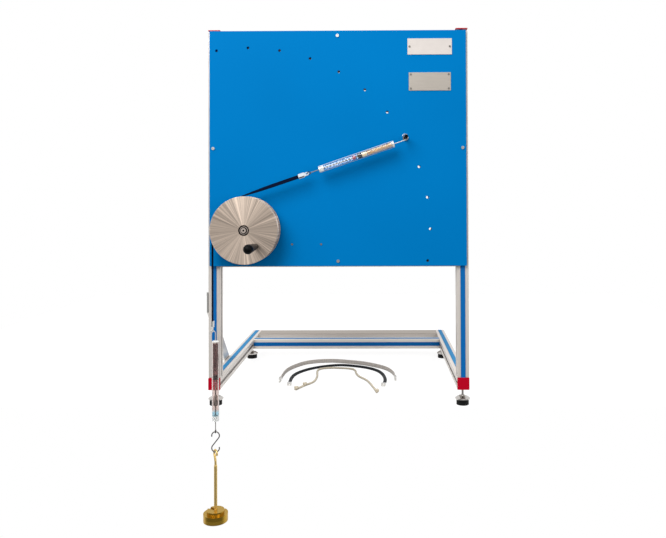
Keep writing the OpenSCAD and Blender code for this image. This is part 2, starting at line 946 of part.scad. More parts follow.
// Clip of folded metal with its bearing edge on z = 0 and the belt below it
module belt_clip(play = fit) {
    grip_top = -clip_hole_d - clip_neck;
    thick = belt_t + 2 * clip_cheek;
    difference() {
        union() {
            rotate([90, 0, 90])
                translate([0, 0, -clip_plate_t / 2])
                    linear_extrude(clip_plate_t) {
                        translate([0, -clip_hole_d / 2])
                            circle(d = clip_hole_d + 2 * clip_web);
                        translate([-clip_hole_d / 2 - clip_web, grip_top - 1])
                            square([clip_hole_d + 2 * clip_web, clip_hole_d / 2 + clip_neck + 1]);
                    }
            translate([-thick / 2, -belt_w / 2, grip_top - clip_grip])
                cube([thick, belt_w, clip_grip]);
        }
        translate([0, 0, -clip_hole_d / 2])
            rotate([0, 90, 0]) cylinder(d = clip_hole_d, h = thick + 2, center = true);
        translate([-belt_t / 2 - play, -belt_w / 2 - 1, grip_top - clip_grip - 1])
            cube([belt_t + 2 * play, belt_w + 2, clip_grip - clip_hold + 1]);
    }
}

module upper_clip() {
    color(steel) on_line(upper_edge) rotate([0, 0, belt_twist]) belt_clip();
}

module lower_clip() {
    color(steel)
        translate([belt_x, belt_y, lower_edge]) rotate([180, 0, 0]) belt_clip();
}

// Balance pieces, along Z from the tube's rod end
module balance_tube() {
    color(clear, 0.4) pipe(tube_d, tube_in_d, tube_len);
}

module balance_caps() {
    plug_d = tube_in_d - 2 * run_fit;
    color(white) {
        translate([0, 0, tube_len]) difference() {
            union() {
                translate([0, 0, -hook_plug])
                    cylinder(d = plug_d, h = hook_plug + cap_flange / 2);
                cylinder(d1 = tube_d, d2 = tube_d - cap_flange, h = cap_flange);
            }
            cylinder(d = wire_d + 2 * fit, h = cap_flange + 1);
        }
        pipe(plug_d, rod_d + 2 * run_fit, rod_plug);
    }
}

// Bent hook: its ring lies beside the straight wire, towards -X
module balance_hook(shank) {
    open_to = 235;
    color(steel) {
        translate([0, 0, tube_len + cap_flange / 4])
            cylinder(d = wire_d, h = shank + cap_flange * 3 / 4);
        translate([-hook_r, 0, tube_len + cap_flange + shank])
            wire_arc(hook_r, wire_d, 0, open_to);
    }
}

// Rod inside the tube with the spring's carrier, and thinner wire to its eye
module balance_rod() {
    color(steel) {
        translate([0, 0, -rod_out + eye_r])
            cylinder(d = wire_d, h = rod_out - eye_r + 1);
        cylinder(d = rod_d, h = carrier_top - carrier_h / 2);
        translate([0, 0, carrier_top - carrier_h]) cylinder(d = carrier_d, h = carrier_h);
    }
}

module balance_eye() {
    color(steel)
        translate([0, 0, -rod_out])
            rotate([90, 0, 0])
                rotate_extrude() translate([eye_r, 0]) circle(d = wire_d);
}

module balance_pointer() {
    color(red)
        translate([0, 0, pointer_at])
            pipe(pointer_d, rod_d + 2 * run_fit, pointer_h);
}

module balance_spring() {
    points = coil_points(spring_d / 2, spring_len, spring_curls, spring_wire);
    echo(str("spring least gap to itself ", coil_gap(points, spring_wire), " mm"));
    translate([0, 0, carrier_top]) sweep(coil_rings(points, spring_wire));
}

module upper_tube() {
    on_line(upper_foot) balance_tube();
}

module upper_tube_caps() {
    on_line(upper_foot) balance_caps();
}

module upper_hook() {
    on_line(upper_foot) balance_hook(upper_shank);
}

module upper_spring() {
    color("#C9B79A") on_line(upper_foot) balance_spring();
}

module upper_rod() {
    on_line(upper_foot) {
        balance_rod();
        rotate([0, 0, belt_twist]) balance_eye();
    }
}

module upper_pointer() {
    on_line(upper_foot) balance_pointer();
}

module lower_tube() {
    on_chain(lower_foot) balance_tube();
}

module lower_tube_caps() {
    on_chain(lower_foot) balance_caps();
}

module lower_hook() {
    on_chain(lower_foot) balance_hook(lower_shank);
}

module lower_spring() {
    color("#8C7568") on_chain(lower_foot) balance_spring();
}

module lower_rod() {
    on_chain(lower_foot) {
        balance_rod();
        rotate([0, 0, 90]) balance_eye();
    }
}

module lower_pointer() {
    on_chain(lower_foot) balance_pointer();
}

// S-shaped hook in the XZ plane: two bends on one leaning straight
module s_hook() {
    reach = 2 * s_half * cos(s_lean);
    tip = 195;
    color(steel)
        on_chain(s_mid)
            rotate([0, s_lean, 0]) {
                translate([0, 0, -reach / 2]) cylinder(d = s_wire, h = reach);
                translate([-s_r, 0, reach / 2]) wire_arc(s_r, s_wire, 0, tip + s_lean);
                translate([s_r, 0, -reach / 2])
                    wire_arc(s_r, s_wire, 180, 180 + tip + s_lean);
            }
}

// Hanger: a crook on a thicker bent stem over a rod with a round base
module weight_hanger() {
    tip = -20;
    inside = 4;
    color(brass)
        on_chain(0) {
            rotate([0, 0, crook_turn - 90]) {
                translate([0, 0, crook_z])
                    wire_arc(crook_r, crook_wire, tip, 180 + crook_swing + inside);
                translate([-crook_bend, 0, rod_top])
                    wire_arc(crook_bend, stem_d, -inside, crook_swing);
            }
            translate([0, 0, rod_top - neck_h])
                cylinder(d1 = hanger_d, d2 = stem_d + fit, h = neck_h);
            translate([0, 0, base_top])
                cylinder(d = hanger_d, h = hanger_len - neck_h);
            translate([0, 0, base_top - large_h]) cylinder(d = large_d, h = large_h);
        }
}

module slotted_weight(d, h, z, turn) {
    slot = hanger_d + 2 * air;
    color(brass)
        on_chain(z)
            rotate([0, 0, turn])
                difference() {
                    cylinder(d = d, h = h);
                    translate([0, 0, -1]) cylinder(d = slot, h = h + 2);
                    translate([0, -slot / 2, -1]) cube([d, slot, h + 2]);
                }
}

module large_weight() {
    slotted_weight(large_d, large_h, base_top, slot_turn);
}

module small_weight() {
    slotted_weight(small_d, small_h, base_top + large_h, slot_turn + 90);
}

// Adjustable feet
module foot(side, y) {
    dome_top = disc_h + dome_h;
    color(steel)
        translate([side * foot_x, y, pad_h]) {
            cylinder(d = disc_d, h = disc_h);
            intersection() {
                translate([0, 0, dome_top - dome_r]) sphere(r = dome_r);
                translate([0, 0, disc_h / 2])
                    cylinder(d = disc_d - 2 * fit, h = dome_top);
            }
            cylinder(d = foot_hub_d, h = dome_top + foot_hub_h);
            cylinder(d = stud_d, h = stud_top - pad_h);
        }
}

module pad(side, y) {
    color(black) translate([side * foot_x, y, 0]) cylinder(d = pad_d, h = pad_h);
}

module front_left_foot() {
    foot(-1, foot_y[0]);
}

module front_left_pad() {
    pad(-1, foot_y[0]);
}

module front_right_foot() {
    foot(1, foot_y[0]);
}

module front_right_pad() {
    pad(1, foot_y[0]);
}

module rear_left_foot() {
    foot(-1, foot_y[1]);
}

module rear_left_pad() {
    pad(-1, foot_y[1]);
}

module rear_right_foot() {
    foot(1, foot_y[1]);
}

module rear_right_pad() {
    pad(1, foot_y[1]);
}

// Spare belts on the bench
module spare_flat_belt() {
    section = [[-belt_t / 2, 0], [belt_t / 2, 0], [belt_t / 2, belt_w],
               [-belt_t / 2, belt_w]];
    echo(str("spare flat belt length ", route_len(flat_line), " mm"));
    color(black) sweep(flat_rings(flat_line, section));
}

module spare_v_belt() {
    section = [[-spare_vee_w / 2, 0], [spare_vee_w / 2, 0],
               [vee_top_w / 2, spare_vee_h], [-vee_top_w / 2, spare_vee_h]];
    echo(str("spare V belt length ", route_len(vee_line), " mm"));
    color(black) sweep(flat_rings(vee_line, section));
}

module spare_rope() {
    section = [for (k = [0:rope_sides - 1])
        let (a = 360 * (k + 0.5) / rope_sides)
        rope_d / 2 * [cos(a), sin(a) + cos(180 / rope_sides)]];
    echo(str("spare rope length ", route_len(rope_line), " mm"));
    color(cream) {
        sweep(flat_rings(rope_line, section));
        for (p = [rope_route[0], rope_route[1], rope_route[len(rope_route) - 1]])
            translate([p.x, p.y, knot_d / 2]) sphere(d = knot_d, $fn = 16);
    }
}

// End fittings: folded clips on the flat belt, cups with rings on the V belt
module at_end(line, last) {
    n = len(line) - 1;
    p = last ? line[n] : line[0];
    h = last ? heading(line, n) : -heading(line, 0);
    translate([p.x, p.y, 0])
        rotate([0, 0, atan2(h.y, h.x) + 90])
            rotate([90, 0, 0]) children();
}

module ring_cup() {
    wide = spare_vee_w + 2 * (fit + cup_wall);
    tall = spare_vee_h + fit + cup_wall;
    hold = cup_len * 0.7;
    difference() {
        translate([-wide / 2, 0, -hold]) cube([wide, tall, cup_len]);
        translate([-spare_vee_w / 2 - fit, -1, -hold - 1])
            cube([spare_vee_w + 2 * fit, spare_vee_h + fit + 1, hold + 1]);
    }
    translate([0, tall / 2, cup_len - hold + eye_r])
        rotate([90, 0, 0])
            rotate_extrude() translate([eye_r, 0]) circle(d = wire_d);
}

module spare_fittings() {
    color(steel)
        for (last = [false, true]) {
            at_end(flat_line, last)
                translate([0, belt_w / 2, clip_back]) belt_clip(2 * fit);
            at_end(vee_line, last) ring_cup();
        }
}

left_upright();
right_upright();
left_side_beam();
right_side_beam();
rear_cross_beam();
rear_bar();
top_cross_beam();
bottom_cross_beam();
slot_covers();
upright_caps();
side_beam_caps();
left_brace();
brace_screws();
panel();
peg_bushes();
panel_screws();
white_plate();
silver_plate();
small_screws();
axle();
axle_fasteners();
axle_spacer();
bearings();
pulley();
crank_spindle();
crank_grip();
anchor_peg();
belt_wrap();
belt_upper_run();
belt_lower_run();
upper_clip();
lower_clip();
upper_tube();
upper_tube_caps();
upper_hook();
upper_spring();
upper_rod();
upper_pointer();
lower_tube();
lower_tube_caps();
lower_hook();
lower_spring();
lower_rod();
lower_pointer();
s_hook();
weight_hanger();
large_weight();
small_weight();
front_left_foot();
front_left_pad();
front_right_foot();
front_right_pad();
rear_left_foot();
rear_left_pad();
rear_right_foot();
rear_right_pad();
spare_flat_belt();
spare_v_belt();
spare_rope();
spare_fittings();
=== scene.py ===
"""Dresses the belt friction apparatus: camera, soft pieces, finishes and a pale studio."""

import json
import math

import bpy
from bpy.props import FloatProperty, FloatVectorProperty, IntProperty, PointerProperty
from mathutils import Matrix, Vector


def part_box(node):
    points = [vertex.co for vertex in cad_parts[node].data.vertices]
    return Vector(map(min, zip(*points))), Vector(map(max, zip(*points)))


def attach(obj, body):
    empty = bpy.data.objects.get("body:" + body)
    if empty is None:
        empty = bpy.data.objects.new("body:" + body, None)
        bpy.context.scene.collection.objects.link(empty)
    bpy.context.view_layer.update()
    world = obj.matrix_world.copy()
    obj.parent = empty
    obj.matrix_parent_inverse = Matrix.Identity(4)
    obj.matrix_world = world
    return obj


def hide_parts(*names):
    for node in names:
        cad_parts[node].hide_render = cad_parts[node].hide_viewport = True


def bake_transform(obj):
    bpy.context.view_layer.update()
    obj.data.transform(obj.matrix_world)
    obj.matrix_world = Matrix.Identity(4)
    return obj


bl_info = {
    "name": "Belt friction apparatus",
    "version": (1, 0, 0),
    "blender": (4, 5, 0),
    "location": "View3D > Sidebar > Belt friction",
    "description": "Finishes, belts, springs, camera and light for the apparatus",
    "category": "Object",
}

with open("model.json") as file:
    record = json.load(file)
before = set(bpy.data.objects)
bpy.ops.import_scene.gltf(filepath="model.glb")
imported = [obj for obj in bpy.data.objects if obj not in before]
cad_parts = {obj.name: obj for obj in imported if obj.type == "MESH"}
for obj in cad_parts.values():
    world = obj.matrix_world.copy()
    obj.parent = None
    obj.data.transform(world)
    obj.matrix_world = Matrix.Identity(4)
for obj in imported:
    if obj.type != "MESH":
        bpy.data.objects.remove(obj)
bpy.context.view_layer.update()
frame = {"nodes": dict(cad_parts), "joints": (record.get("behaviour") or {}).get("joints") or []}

MM = 0.001
IMAGE_WIDTH = 666
IMAGE_HEIGHT = 538
SENSOR = 36.0
ORIGIN = Vector((0, 0, 0))
UP = Vector((0, 0, 1))
BACK = Vector((0, 1, 0))

# Bounds between the finishes of one piece, some of them bounds of painted shade
BAR_TOP = 1 * MM
# Where the red plate of the upright caps begins; below it the stem is painted black as painted
# shade
CAP_PLATE = 2.9 * MM
PEG_HOLLOW = 4.6 * MM
# Radius of the black painted shade in the axle screw's hex socket
AXLE_SOCKET_SHADE = 2.4 * MM
RACE_IN, RACE_OUT = 0.64, 0.74
ROD_RADIUS = 3 * MM
# Reach of the occlusion that paints shade into the profiles' slots, and how dark that painted
# shade gets
SLOT_REACH, SLOT_SHADE = 12 * MM, 0.25
CARRIER_FOOT = 13 * MM
HANGER_BASE = 1 * MM

# Edges and steps of the soft pieces
BELT_EDGE = 0.4 * MM
FLAT_EDGE = 0.6 * MM
VEE_EDGE = 0.5 * MM
BELT_STEPS = 36
SPARE_STEPS = 12
ROPE_STEPS = 24
ROPE_SIDES = 24
ROPE_GROOVE = 0.1
KNOT_STEPS = 72
KNOT_SIDES = 10
KNOT_STRAND = 0.85
CURL_STEPS = 18
WIRE_SIDES = 8

# Printed marks of the balances
MARK_LIFT = 0.05 * MM
MARK_SPREAD = math.radians(9)
MARK_ARCS = 8
LOWER_SCALE_TURN = math.radians(100)

# Lamps and bench top, in metres
KEY_PLACE, KEY_WIDTH = (-0.8, -2.0, 1.9), 1.6
FILL_PLACE, FILL_WIDTH = (1.9, -2.2, 1.0), 1.4
BENCH_SIDE, BENCH_BACK = 1.4, 1.6
BENCH_MARGIN = 3 * MM
BENCH_TONE, BENCH_GLOW = 0.3, 0.84


def to_linear(code):
    """Linear red, green and blue of an sRGB hex colour."""

    def channel(pair):
        value = int(pair, 16) / 255
        return value / 12.92 if value <= 0.04045 else ((value + 0.055) / 1.055) ** 2.4

    return tuple(channel(code[i : i + 2]) for i in (1, 3, 5))


def colour(name, description, code):
    """A colour property with its default as an sRGB hex value."""
    return FloatVectorProperty(
        name=name,
        description=description,
        subtype="COLOR",
        size=3,
        min=0.0,
        max=1.0,
        default=to_linear(code),
    )


def size(name, description, millimetres):
    """A length property with its default in millimetres."""
    return FloatProperty(
        name=name, description=description, unit="LENGTH", min=0.0, default=millimetres * MM
    )


# Places on the frame that the soft pieces follow


def joint(name):
    """The record's joint of that name."""
    return next(j for j in frame["joints"] if j["name"] == name)


def centre(node):
    """Middle of a CAD node's box."""
    low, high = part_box(node)
    return (Vector(low) + Vector(high)) / 2


def low_corner(node):
    """Lowest corner of a CAD node's box."""
    return Vector(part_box(node)[0])


def high_corner(node):
    """Highest corner of a CAD node's box."""
    return Vector(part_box(node)[1])


PULLEY = centre("pulley")
BELT_Y = centre("belt_wrap").y
BELT_IN = PULLEY.x - high_corner("belt_lower_run").x
BELT_OUT = PULLEY.x - low_corner("belt_lower_run").x
BELT_MID = (BELT_IN + BELT_OUT) / 2
BELT_HALF = (high_corner("belt_lower_run").y - low_corner("belt_lower_run").y) / 2
PULL = -Vector(joint("upper_stretch")["axis"])
OVER = Vector((-PULL.z, 0, PULL.x))
TANGENT = Vector((PULLEY.x, BELT_Y, PULLEY.z)) + OVER * BELT_MID
CHAIN = Vector((centre("lower_tube").x, BELT_Y, 0))


class ApparatusColours(bpy.types.PropertyGroup):
    """Finishes of the apparatus"""

    panel: colour("Panel", "Coated board", "#0078BF")
    cover: colour("Slot cover", "Strip in the profile's slot", "#0668B2")
    cap: colour("End cap", "Moulded caps of the profiles", "#BE0022")
    profile: colour("Profile", "Anodised aluminium", "#E6DFD8")
    # Painted shade: the darker brown-grey of the rear bar's top
    bar: colour("Rear bar", "Drawn bar behind the base", "#A89C90")
    steel: colour("Steel", "Bright plated steel", "#DAD8D4")
    screw: colour("Screw", "Grey screws of the plates", "#8A8682")
    dark_steel: colour("Dark steel", "Blackened steel", "#1E1615")
    hook: colour("S-hook", "Bent wire of the chain", "#7C7876")
    pulley: colour("Pulley", "Turned aluminium", "#DAC8B8")
    race: colour("Bearing race", "Ground rings of the bearing", "#D2C4BA")
    grip: colour("Grip", "Moulded crank grip", "#050607")
    belt: colour("Belt", "Rubber belt", "#000823")
    white: colour("White plate", "Enamelled plate", "#DED6D0")
    silver: colour("Silver plate", "Brushed plate", "#C2BAB0")
    nylon: colour("Nylon", "Caps of the balances", "#F0F0EC")
    pointer: colour("Pointer", "Red ring of the balances", "#B65A6C")
    sleeve: colour("Sleeve", "Pale sleeve at the upper spring's end", "#EED9B4")
    spring_light: colour("Upper spring", "Coppered spring wire", "#F8D4A6")
    spring_dark: colour("Lower spring", "Aged spring wire", "#846466")
    brass: colour("Brass", "Slotted weights", "#C09A38")
    # Painted highlight: the stem's pale gold stands in for the bright reflections on it
    stem: colour("Stem", "Polished stem of the hanger", "#F0CE80")
    chrome: colour("Chrome", "Plated feet", "#C6C2BE")
    bush: colour("Bush", "Nylon bushes behind the peg holes", "#07487E")
    # Painted light: the paler blue painted on covers that face up, as if lit from above
    painted_top_light: colour("Cover dust", "Covers that face up", "#2A8CC6")
    rubber: colour("Pad", "Rubber pads", "#080908")
    rope: colour("Rope", "Cotton rope", "#D0C4AC")
    flat_belt: colour("Spare flat belt", "Woven belt", "#C6BEB6")
    vee_belt: colour("Spare V belt", "Rubber V belt", "#1A1E22")
    clear: colour("Clear tube", "Clear acrylic of the balance tubes", "#FCFDFE")
    tint: colour("Tube tint", "Warm tint of the lower tube", "#E8DCD8")
    cool: colour("Cool tint", "Bluish band near the lower tube's end", "#CCE6F0")
    ink: colour("Scale", "Printed marks on the balances", "#DCE8F2")


class ApparatusSizes(bpy.types.PropertyGroup):
    """Sizes of the pieces that are made here"""

    spring_radius: size("Spring radius", "Mean radius of the balance springs", 5.5)
    spring_wire: size("Spring wire", "Wire of the balance springs", 1.7)
    spring_curls: IntProperty(
        name="Curls", description="Curls of each balance spring", min=4, default=26
    )
    plug: size("Plug", "Cap inside the tube above the spring", 3.0)
    cool_start: size("Cool start", "Start of the bluish band from the lower tube's end", 12.0)
    cool_end: size("Cool end", "End of the bluish band from the lower tube's end", 23.0)
    # Painted shade: the length of the carrier that is painted near-black
    carrier_dark: size("Dark carrier", "Dark lower part of the spring's carrier", 11.0)
    scale_start: size("Scale start", "First mark from the tube's rod end", 18.0)
    scale_step: size("Scale step", "Distance between marks", 8.0)
    scale_mark: size("Scale mark", "Length of a mark along the tube", 4.2)
    scale_marks: IntProperty(name="Marks", description="Marks on each scale", min=2, default=9)
    belt_twist: FloatProperty(
        name="Belt twist",
        description="Turn of the upper run from the pulley to its clip",
        subtype="ANGLE",
        default=math.radians(42),
    )
    clip_grip: size("Clip grip", "Straight end of the upper run inside its clip", 15.0)
    flat_width: size("Flat belt width", "Width of the spare flat belt", 12.0)
    flat_thick: size("Flat belt thickness", "Thickness of the spare flat belt", 2.0)
    vee_base: size("V belt base", "Wide side of the spare V belt", 10.0)
    vee_top: size("V belt top", "Narrow side of the spare V belt", 6.0)
    vee_height: size("V belt height", "Height of the spare V belt", 6.0)
    rope_diameter: size("Rope diameter", "Thickness of the spare rope", 6.4)
    rope_lay: size("Rope lay", "Length of one turn of a strand", 16.0)
    knot_diameter: size("Knot diameter", "Knots at the rope's ends", 13.0)


class StudioSettings(bpy.types.PropertyGroup):
    """Camera, paper and lamps"""

    place: FloatVectorProperty(
        name="Camera",
        description="Where the camera stands",
        subtype="XYZ",
        unit="LENGTH",
        default=(0.0926, -1.9423, 0.5116),
    )
    turn: FloatVectorProperty(
        name="Camera turn",
        description="Pitch, roll and yaw of the camera from level",
        subtype="EULER",
        unit="ROTATION",
        default=(0.00994, -0.00347, 0.00753),
    )
    lens: FloatProperty(
        name="Lens", description="Focal length", subtype="DISTANCE_CAMERA", default=35.57
    )
    axis_x: FloatProperty(
        name="Axis across", description="Pixel column of the lens axis", default=370.25
    )
    axis_y: FloatProperty(
        name="Axis down", description="Pixel row of the lens axis", default=193.69
    )
    key: FloatProperty(
        name="Key", description="Lamp from the upper left", unit="POWER", default=38
    )
    fill: FloatProperty(name="Fill", description="Lamp from the right", unit="POWER", default=12)
    sky: FloatProperty(name="Ceiling", description="Light of the room from above", default=0.9)
    ground: FloatProperty(name="Ground", description="Light of the room from below", default=0.2)
    paper: colour("Paper", "Bench top and background", "#FFFFFF")


# Meshes


def new_mesh(name, points, faces, material, smooth=True):
    """An object from points and faces, in the shared frame."""
    mesh = bpy.data.meshes.new(name)
    mesh.from_pydata(points, [], faces)
    mesh.validate()
    mesh.update()
    mesh.materials.append(material)
    for face in mesh.polygons:
        face.use_smooth = smooth
    obj = bpy.data.objects.new(name, mesh)
    bpy.context.collection.objects.link(obj)
    return obj


def sweep(name, path, section, up, material, smooth=True):
    """Skins a closed section along a path.

    The section gives, for a step of the path, points as (across, over), where across is square
    to the path and to up, and over is square to both.
    """
    points = []
    for step, place in enumerate(path):
        before = path[max(step - 1, 0)]
        after = path[min(step + 1, len(path) - 1)]
        ahead = (after - before).normalized()
        across = ahead.cross(up).normalized()
        over = across.cross(ahead)
        points += [place + across * x + over * y for x, y in section(step)]
    sides = len(section(0))
    faces = []
    for ring in range(len(path) - 1):
        for i in range(sides):
            j = (i + 1) % sides
            faces.append(
                (
                    ring * sides + i,
                    ring * sides + j,
                    (ring + 1) * sides + j,
                    (ring + 1) * sides + i,
                )
            )
    last = (len(path) - 1) * sides
    faces.append(tuple(reversed(range(sides))))
    faces.append(tuple(range(last, last + sides)))
    return new_mesh(name, points, faces, material, smooth)


def circle(radius, sides):
    """Points of a round section."""
    turns = [2 * math.pi * i / sides for i in range(sides)]
    return [(radius * math.cos(a), radius * math.sin(a)) for a in turns]


def rounded(width, height, corner, steps=3):
    """Points of a rectangle with rounded corners, about its middle."""
    points = []
    for i, (x, y) in enumerate(((1, 1), (-1, 1), (-1, -1), (1, -1))):
        middle = (x * (width / 2 - corner), y * (height / 2 - corner))
        for step in range(steps + 1):
            a = math.pi / 2 * (i + step / steps)
            points.append(
                (middle[0] + corner * math.cos(a), middle[1] + corner * math.sin(a))
            )
    return points


def curve_through(route, steps):
    """Points of a smooth curve through a route, with a number of steps for each stretch."""
    points = []
    count = len(route)
    for i in range(count - 1):
        p0, p1 = route[max(i - 1, 0)], route[i]
        p2, p3 = route[i + 1], route[min(i + 2, count - 1)]
        for step in range(steps):
            t = step / steps
            points.append(
                0.5
                * (
                    2 * p1
                    + (p2 - p0) * t
                    + (2 * p0 - 5 * p1 + 4 * p2 - p3) * t**2
                    + (3 * p1 - p0 - 3 * p2 + p3) * t**3
                )
            )
    points.append(route[-1].copy())
    return points


# Materials


def add(tree, kind, inputs=None, **settings):
    """Adds a node with its settings, and sets or links its inputs."""
    node = tree.nodes.new(kind)
    for name, value in settings.items():
        setattr(node, name, value)
    for key, value in (inputs or {}).items():
        if isinstance(value, bpy.types.NodeSocket):
            tree.links.new(value, node.inputs[key])
        else:
            node.inputs[key].default_value = value
    return node


def shade(rgb, factor=1.0):
    """A colour made lighter or darker, as a node colour."""
    return tuple(min(1.0, channel * factor) for channel in rgb) + (1.0,)


def new_material(name, **sockets):
    """A material with its Principled shader, whose even values are set on the shader itself."""
    material = bpy.data.materials.new(name)
    material.use_nodes = True
    shader = material.node_tree.nodes["Principled BSDF"]
    for key, value in sockets.items():
        shader.inputs[key.replace("_", " ")].default_value = value
    return material, material.node_tree, shader


def grain(tree, millimetres, stretch=(1, 1, 1), detail=3.0):
    """A soft random pattern with features of that size, drawn out along an axis by stretch."""
    place = add(tree, "ShaderNodeTexCoord").outputs["Object"]
    drawn = add(tree, "ShaderNodeMapping", {"Vector": place, "Scale": stretch})
    return add(
        tree,
        "ShaderNodeTexNoise",
        {"Vector": drawn.outputs["Vector"], "Scale": 1 / (millimetres * MM), "Detail": detail},
    ).outputs["Fac"]


def vary(tree, shader, pattern, rgb, spread, roughness, bump=0.0):
    """Lets a pattern move the shader's colour, roughness and, by millimetres, its height."""
    mixed = add(
        tree,
        "ShaderNodeMix",
        {0: pattern, 6: shade(rgb, 1 - spread), 7: shade(rgb, 1 + spread)},
        data_type="RGBA",
    )
    tree.links.new(mixed.outputs[2], shader.inputs["Base Color"])
    spread_of_gloss = add(
        tree,
        "ShaderNodeMapRange",
        {"Value": pattern, "To Min": roughness[0], "To Max": roughness[1]},
    )
    tree.links.new(spread_of_gloss.outputs["Result"], shader.inputs["Roughness"])
    if bump:
        height = add(
            tree, "ShaderNodeBump", {"Height": pattern, "Strength": 0.6, "Distance": bump * MM}
        )
        tree.links.new(height.outputs["Normal"], shader.inputs["Normal"])


def arm_from(tree, point):
    """The arm from a point to each place on the surface."""
    place = add(tree, "ShaderNodeTexCoord").outputs["Object"]
    return add(tree, "ShaderNodeVectorMath", {0: place, 1: point}, operation="SUBTRACT").outputs[0]


def aside_of(tree, point, axis):
    """How far a place lies from the line through the point along the axis."""
    arm = arm_from(tree, point)
    square = add(tree, "ShaderNodeVectorMath", {0: arm, 1: axis}, operation="CROSS_PRODUCT")
    aside = add(tree, "ShaderNodeVectorMath", {0: square.outputs[0]}, operation="LENGTH")
    return aside.outputs["Value"]


def along_from(tree, point, axis):
    """How far a place lies from the point along the axis."""
    arm = arm_from(tree, point)
    along = add(tree, "ShaderNodeVectorMath", {0: arm, 1: axis}, operation="DOT_PRODUCT")
    return along.outputs["Value"]


def zones(tree, distance, first, *bounds):
    """One colour from zero on, and another from each bound on."""
    tone = shade(first)
    for bound, rgb in bounds:
        past = add(tree, "ShaderNodeMath", {0: distance, 1: bound}, operation="GREATER_THAN")
        tone = add(
            tree,
            "ShaderNodeMix",
            {0: past.outputs[0], 6: tone, 7: shade(rgb)},
            data_type="RGBA",
        ).outputs[2]
    return tone


def coat(tree, shader, tone, roughness):
    """Gives the shader a tone from the zones and a gloss that varies a little."""
    tree.links.new(tone, shader.inputs["Base Color"])
    gloss = add(
        tree,
        "ShaderNodeMapRange",
        {"Value": grain(tree, 2.0), "To Min": roughness[0], "To Max": roughness[1]},
    )
    tree.links.new(gloss.outputs["Result"], shader.inputs["Roughness"])


def anodised_aluminium(name, rgb, stretch):
    """Extruded and anodised profile: satin grey with faint die lines, and painted shade in its
    slots.
    """
    material, tree, shader = new_material(name, Metallic=0.4)
    vary(tree, shader, grain(tree, 1.5, stretch), rgb, 0.05, (0.34, 0.48))
    lines = shader.inputs["Base Color"].links[0].from_socket
    # Painted shade: where ambient occlusion finds slots and corners, the colour darkens to a
    # quarter of its tone
    open_air = add(tree, "ShaderNodeAmbientOcclusion", {"Distance": SLOT_REACH}).outputs["AO"]
    slot_shade = add(
        tree, "ShaderNodeMix", {0: open_air, 6: shade(rgb, SLOT_SHADE), 7: lines}, data_type="RGBA"
    )
    tree.links.new(slot_shade.outputs[2], shader.inputs["Base Color"])
    return material


def drawn_bar(rgb, front, height):
    """Drawn aluminium bar: its top painted a dull brown-grey as painted shade, its front the
    bright grey of the profiles.
    """
    material, tree, shader = new_material("Drawn aluminium bar", Metallic=0.4)
    rise = along_from(tree, ORIGIN, UP)
    coat(tree, shader, zones(tree, rise, front, (height, rgb)), (0.34, 0.48))
    return material


def cover_strip(rgb, painted_light):
    """PVC strip pressed into a slot: deep blue, with a paler blue painted where it faces up, as
    painted light from above.
    """
    material, tree, shader = new_material("PVC cover strip", IOR=1.5, Specular_IOR_Level=0.1)
    # Painted light: the more the surface faces up, the more of the paler blue it gets
    facing = add(tree, "ShaderNodeNewGeometry").outputs["Normal"]
    rise = add(tree, "ShaderNodeSeparateXYZ", {"Vector": facing}).outputs["Z"]
    tone = add(
        tree, "ShaderNodeMix", {0: rise, 6: shade(rgb), 7: shade(painted_light)}, data_type="RGBA"
    )
    coat(tree, shader, tone.outputs[2], (0.5, 0.62))
    return material


def moulded_plastic(name, rgb, roughness, millimetres=2.0, gloss=0.5):
    """Injection moulded plastic: an even colour under a fine satin spark texture."""
    material, tree, shader = new_material(name, IOR=1.5, Specular_IOR_Level=gloss)
    vary(tree, shader, grain(tree, millimetres), rgb, 0.06, roughness, 0.02)
    return material


def coated_board(rgb):
    """Powder-coated panel: saturated blue, a fine orange-peel skin and slow drifts of tone."""
    material, tree, shader = new_material(
        "Powder-coated panel", IOR=1.5, Specular_IOR_Level=0.01
    )
    vary(tree, shader, grain(tree, 260, detail=1.0), rgb, 0.07, (0.42, 0.5))
    peel = grain(tree, 1.6)
    skin = add(
        tree, "ShaderNodeBump", {"Height": peel, "Strength": 0.25, "Distance": 0.03 * MM}
    )
    tree.links.new(skin.outputs["Normal"], shader.inputs["Normal"])
    return material


def plated_steel(name, rgb, roughness, metallic=1.0):
    """Zinc or nickel plated steel: bright and slightly cloudy, paler where it is scuffed."""
    material, tree, shader = new_material(name, Metallic=metallic)
    vary(tree, shader, grain(tree, 3.0), rgb, 0.08, roughness)
    return material


def brushed_plate(rgb):
    """Brushed aluminium plate: fine lines across, stretched highlights along them."""
    material, tree, shader = new_material("Brushed aluminium plate", Metallic=0.7)
    vary(tree, shader, grain(tree, 0.8, (0.03, 1, 1)), rgb, 0.07, (0.3, 0.45))
    return material


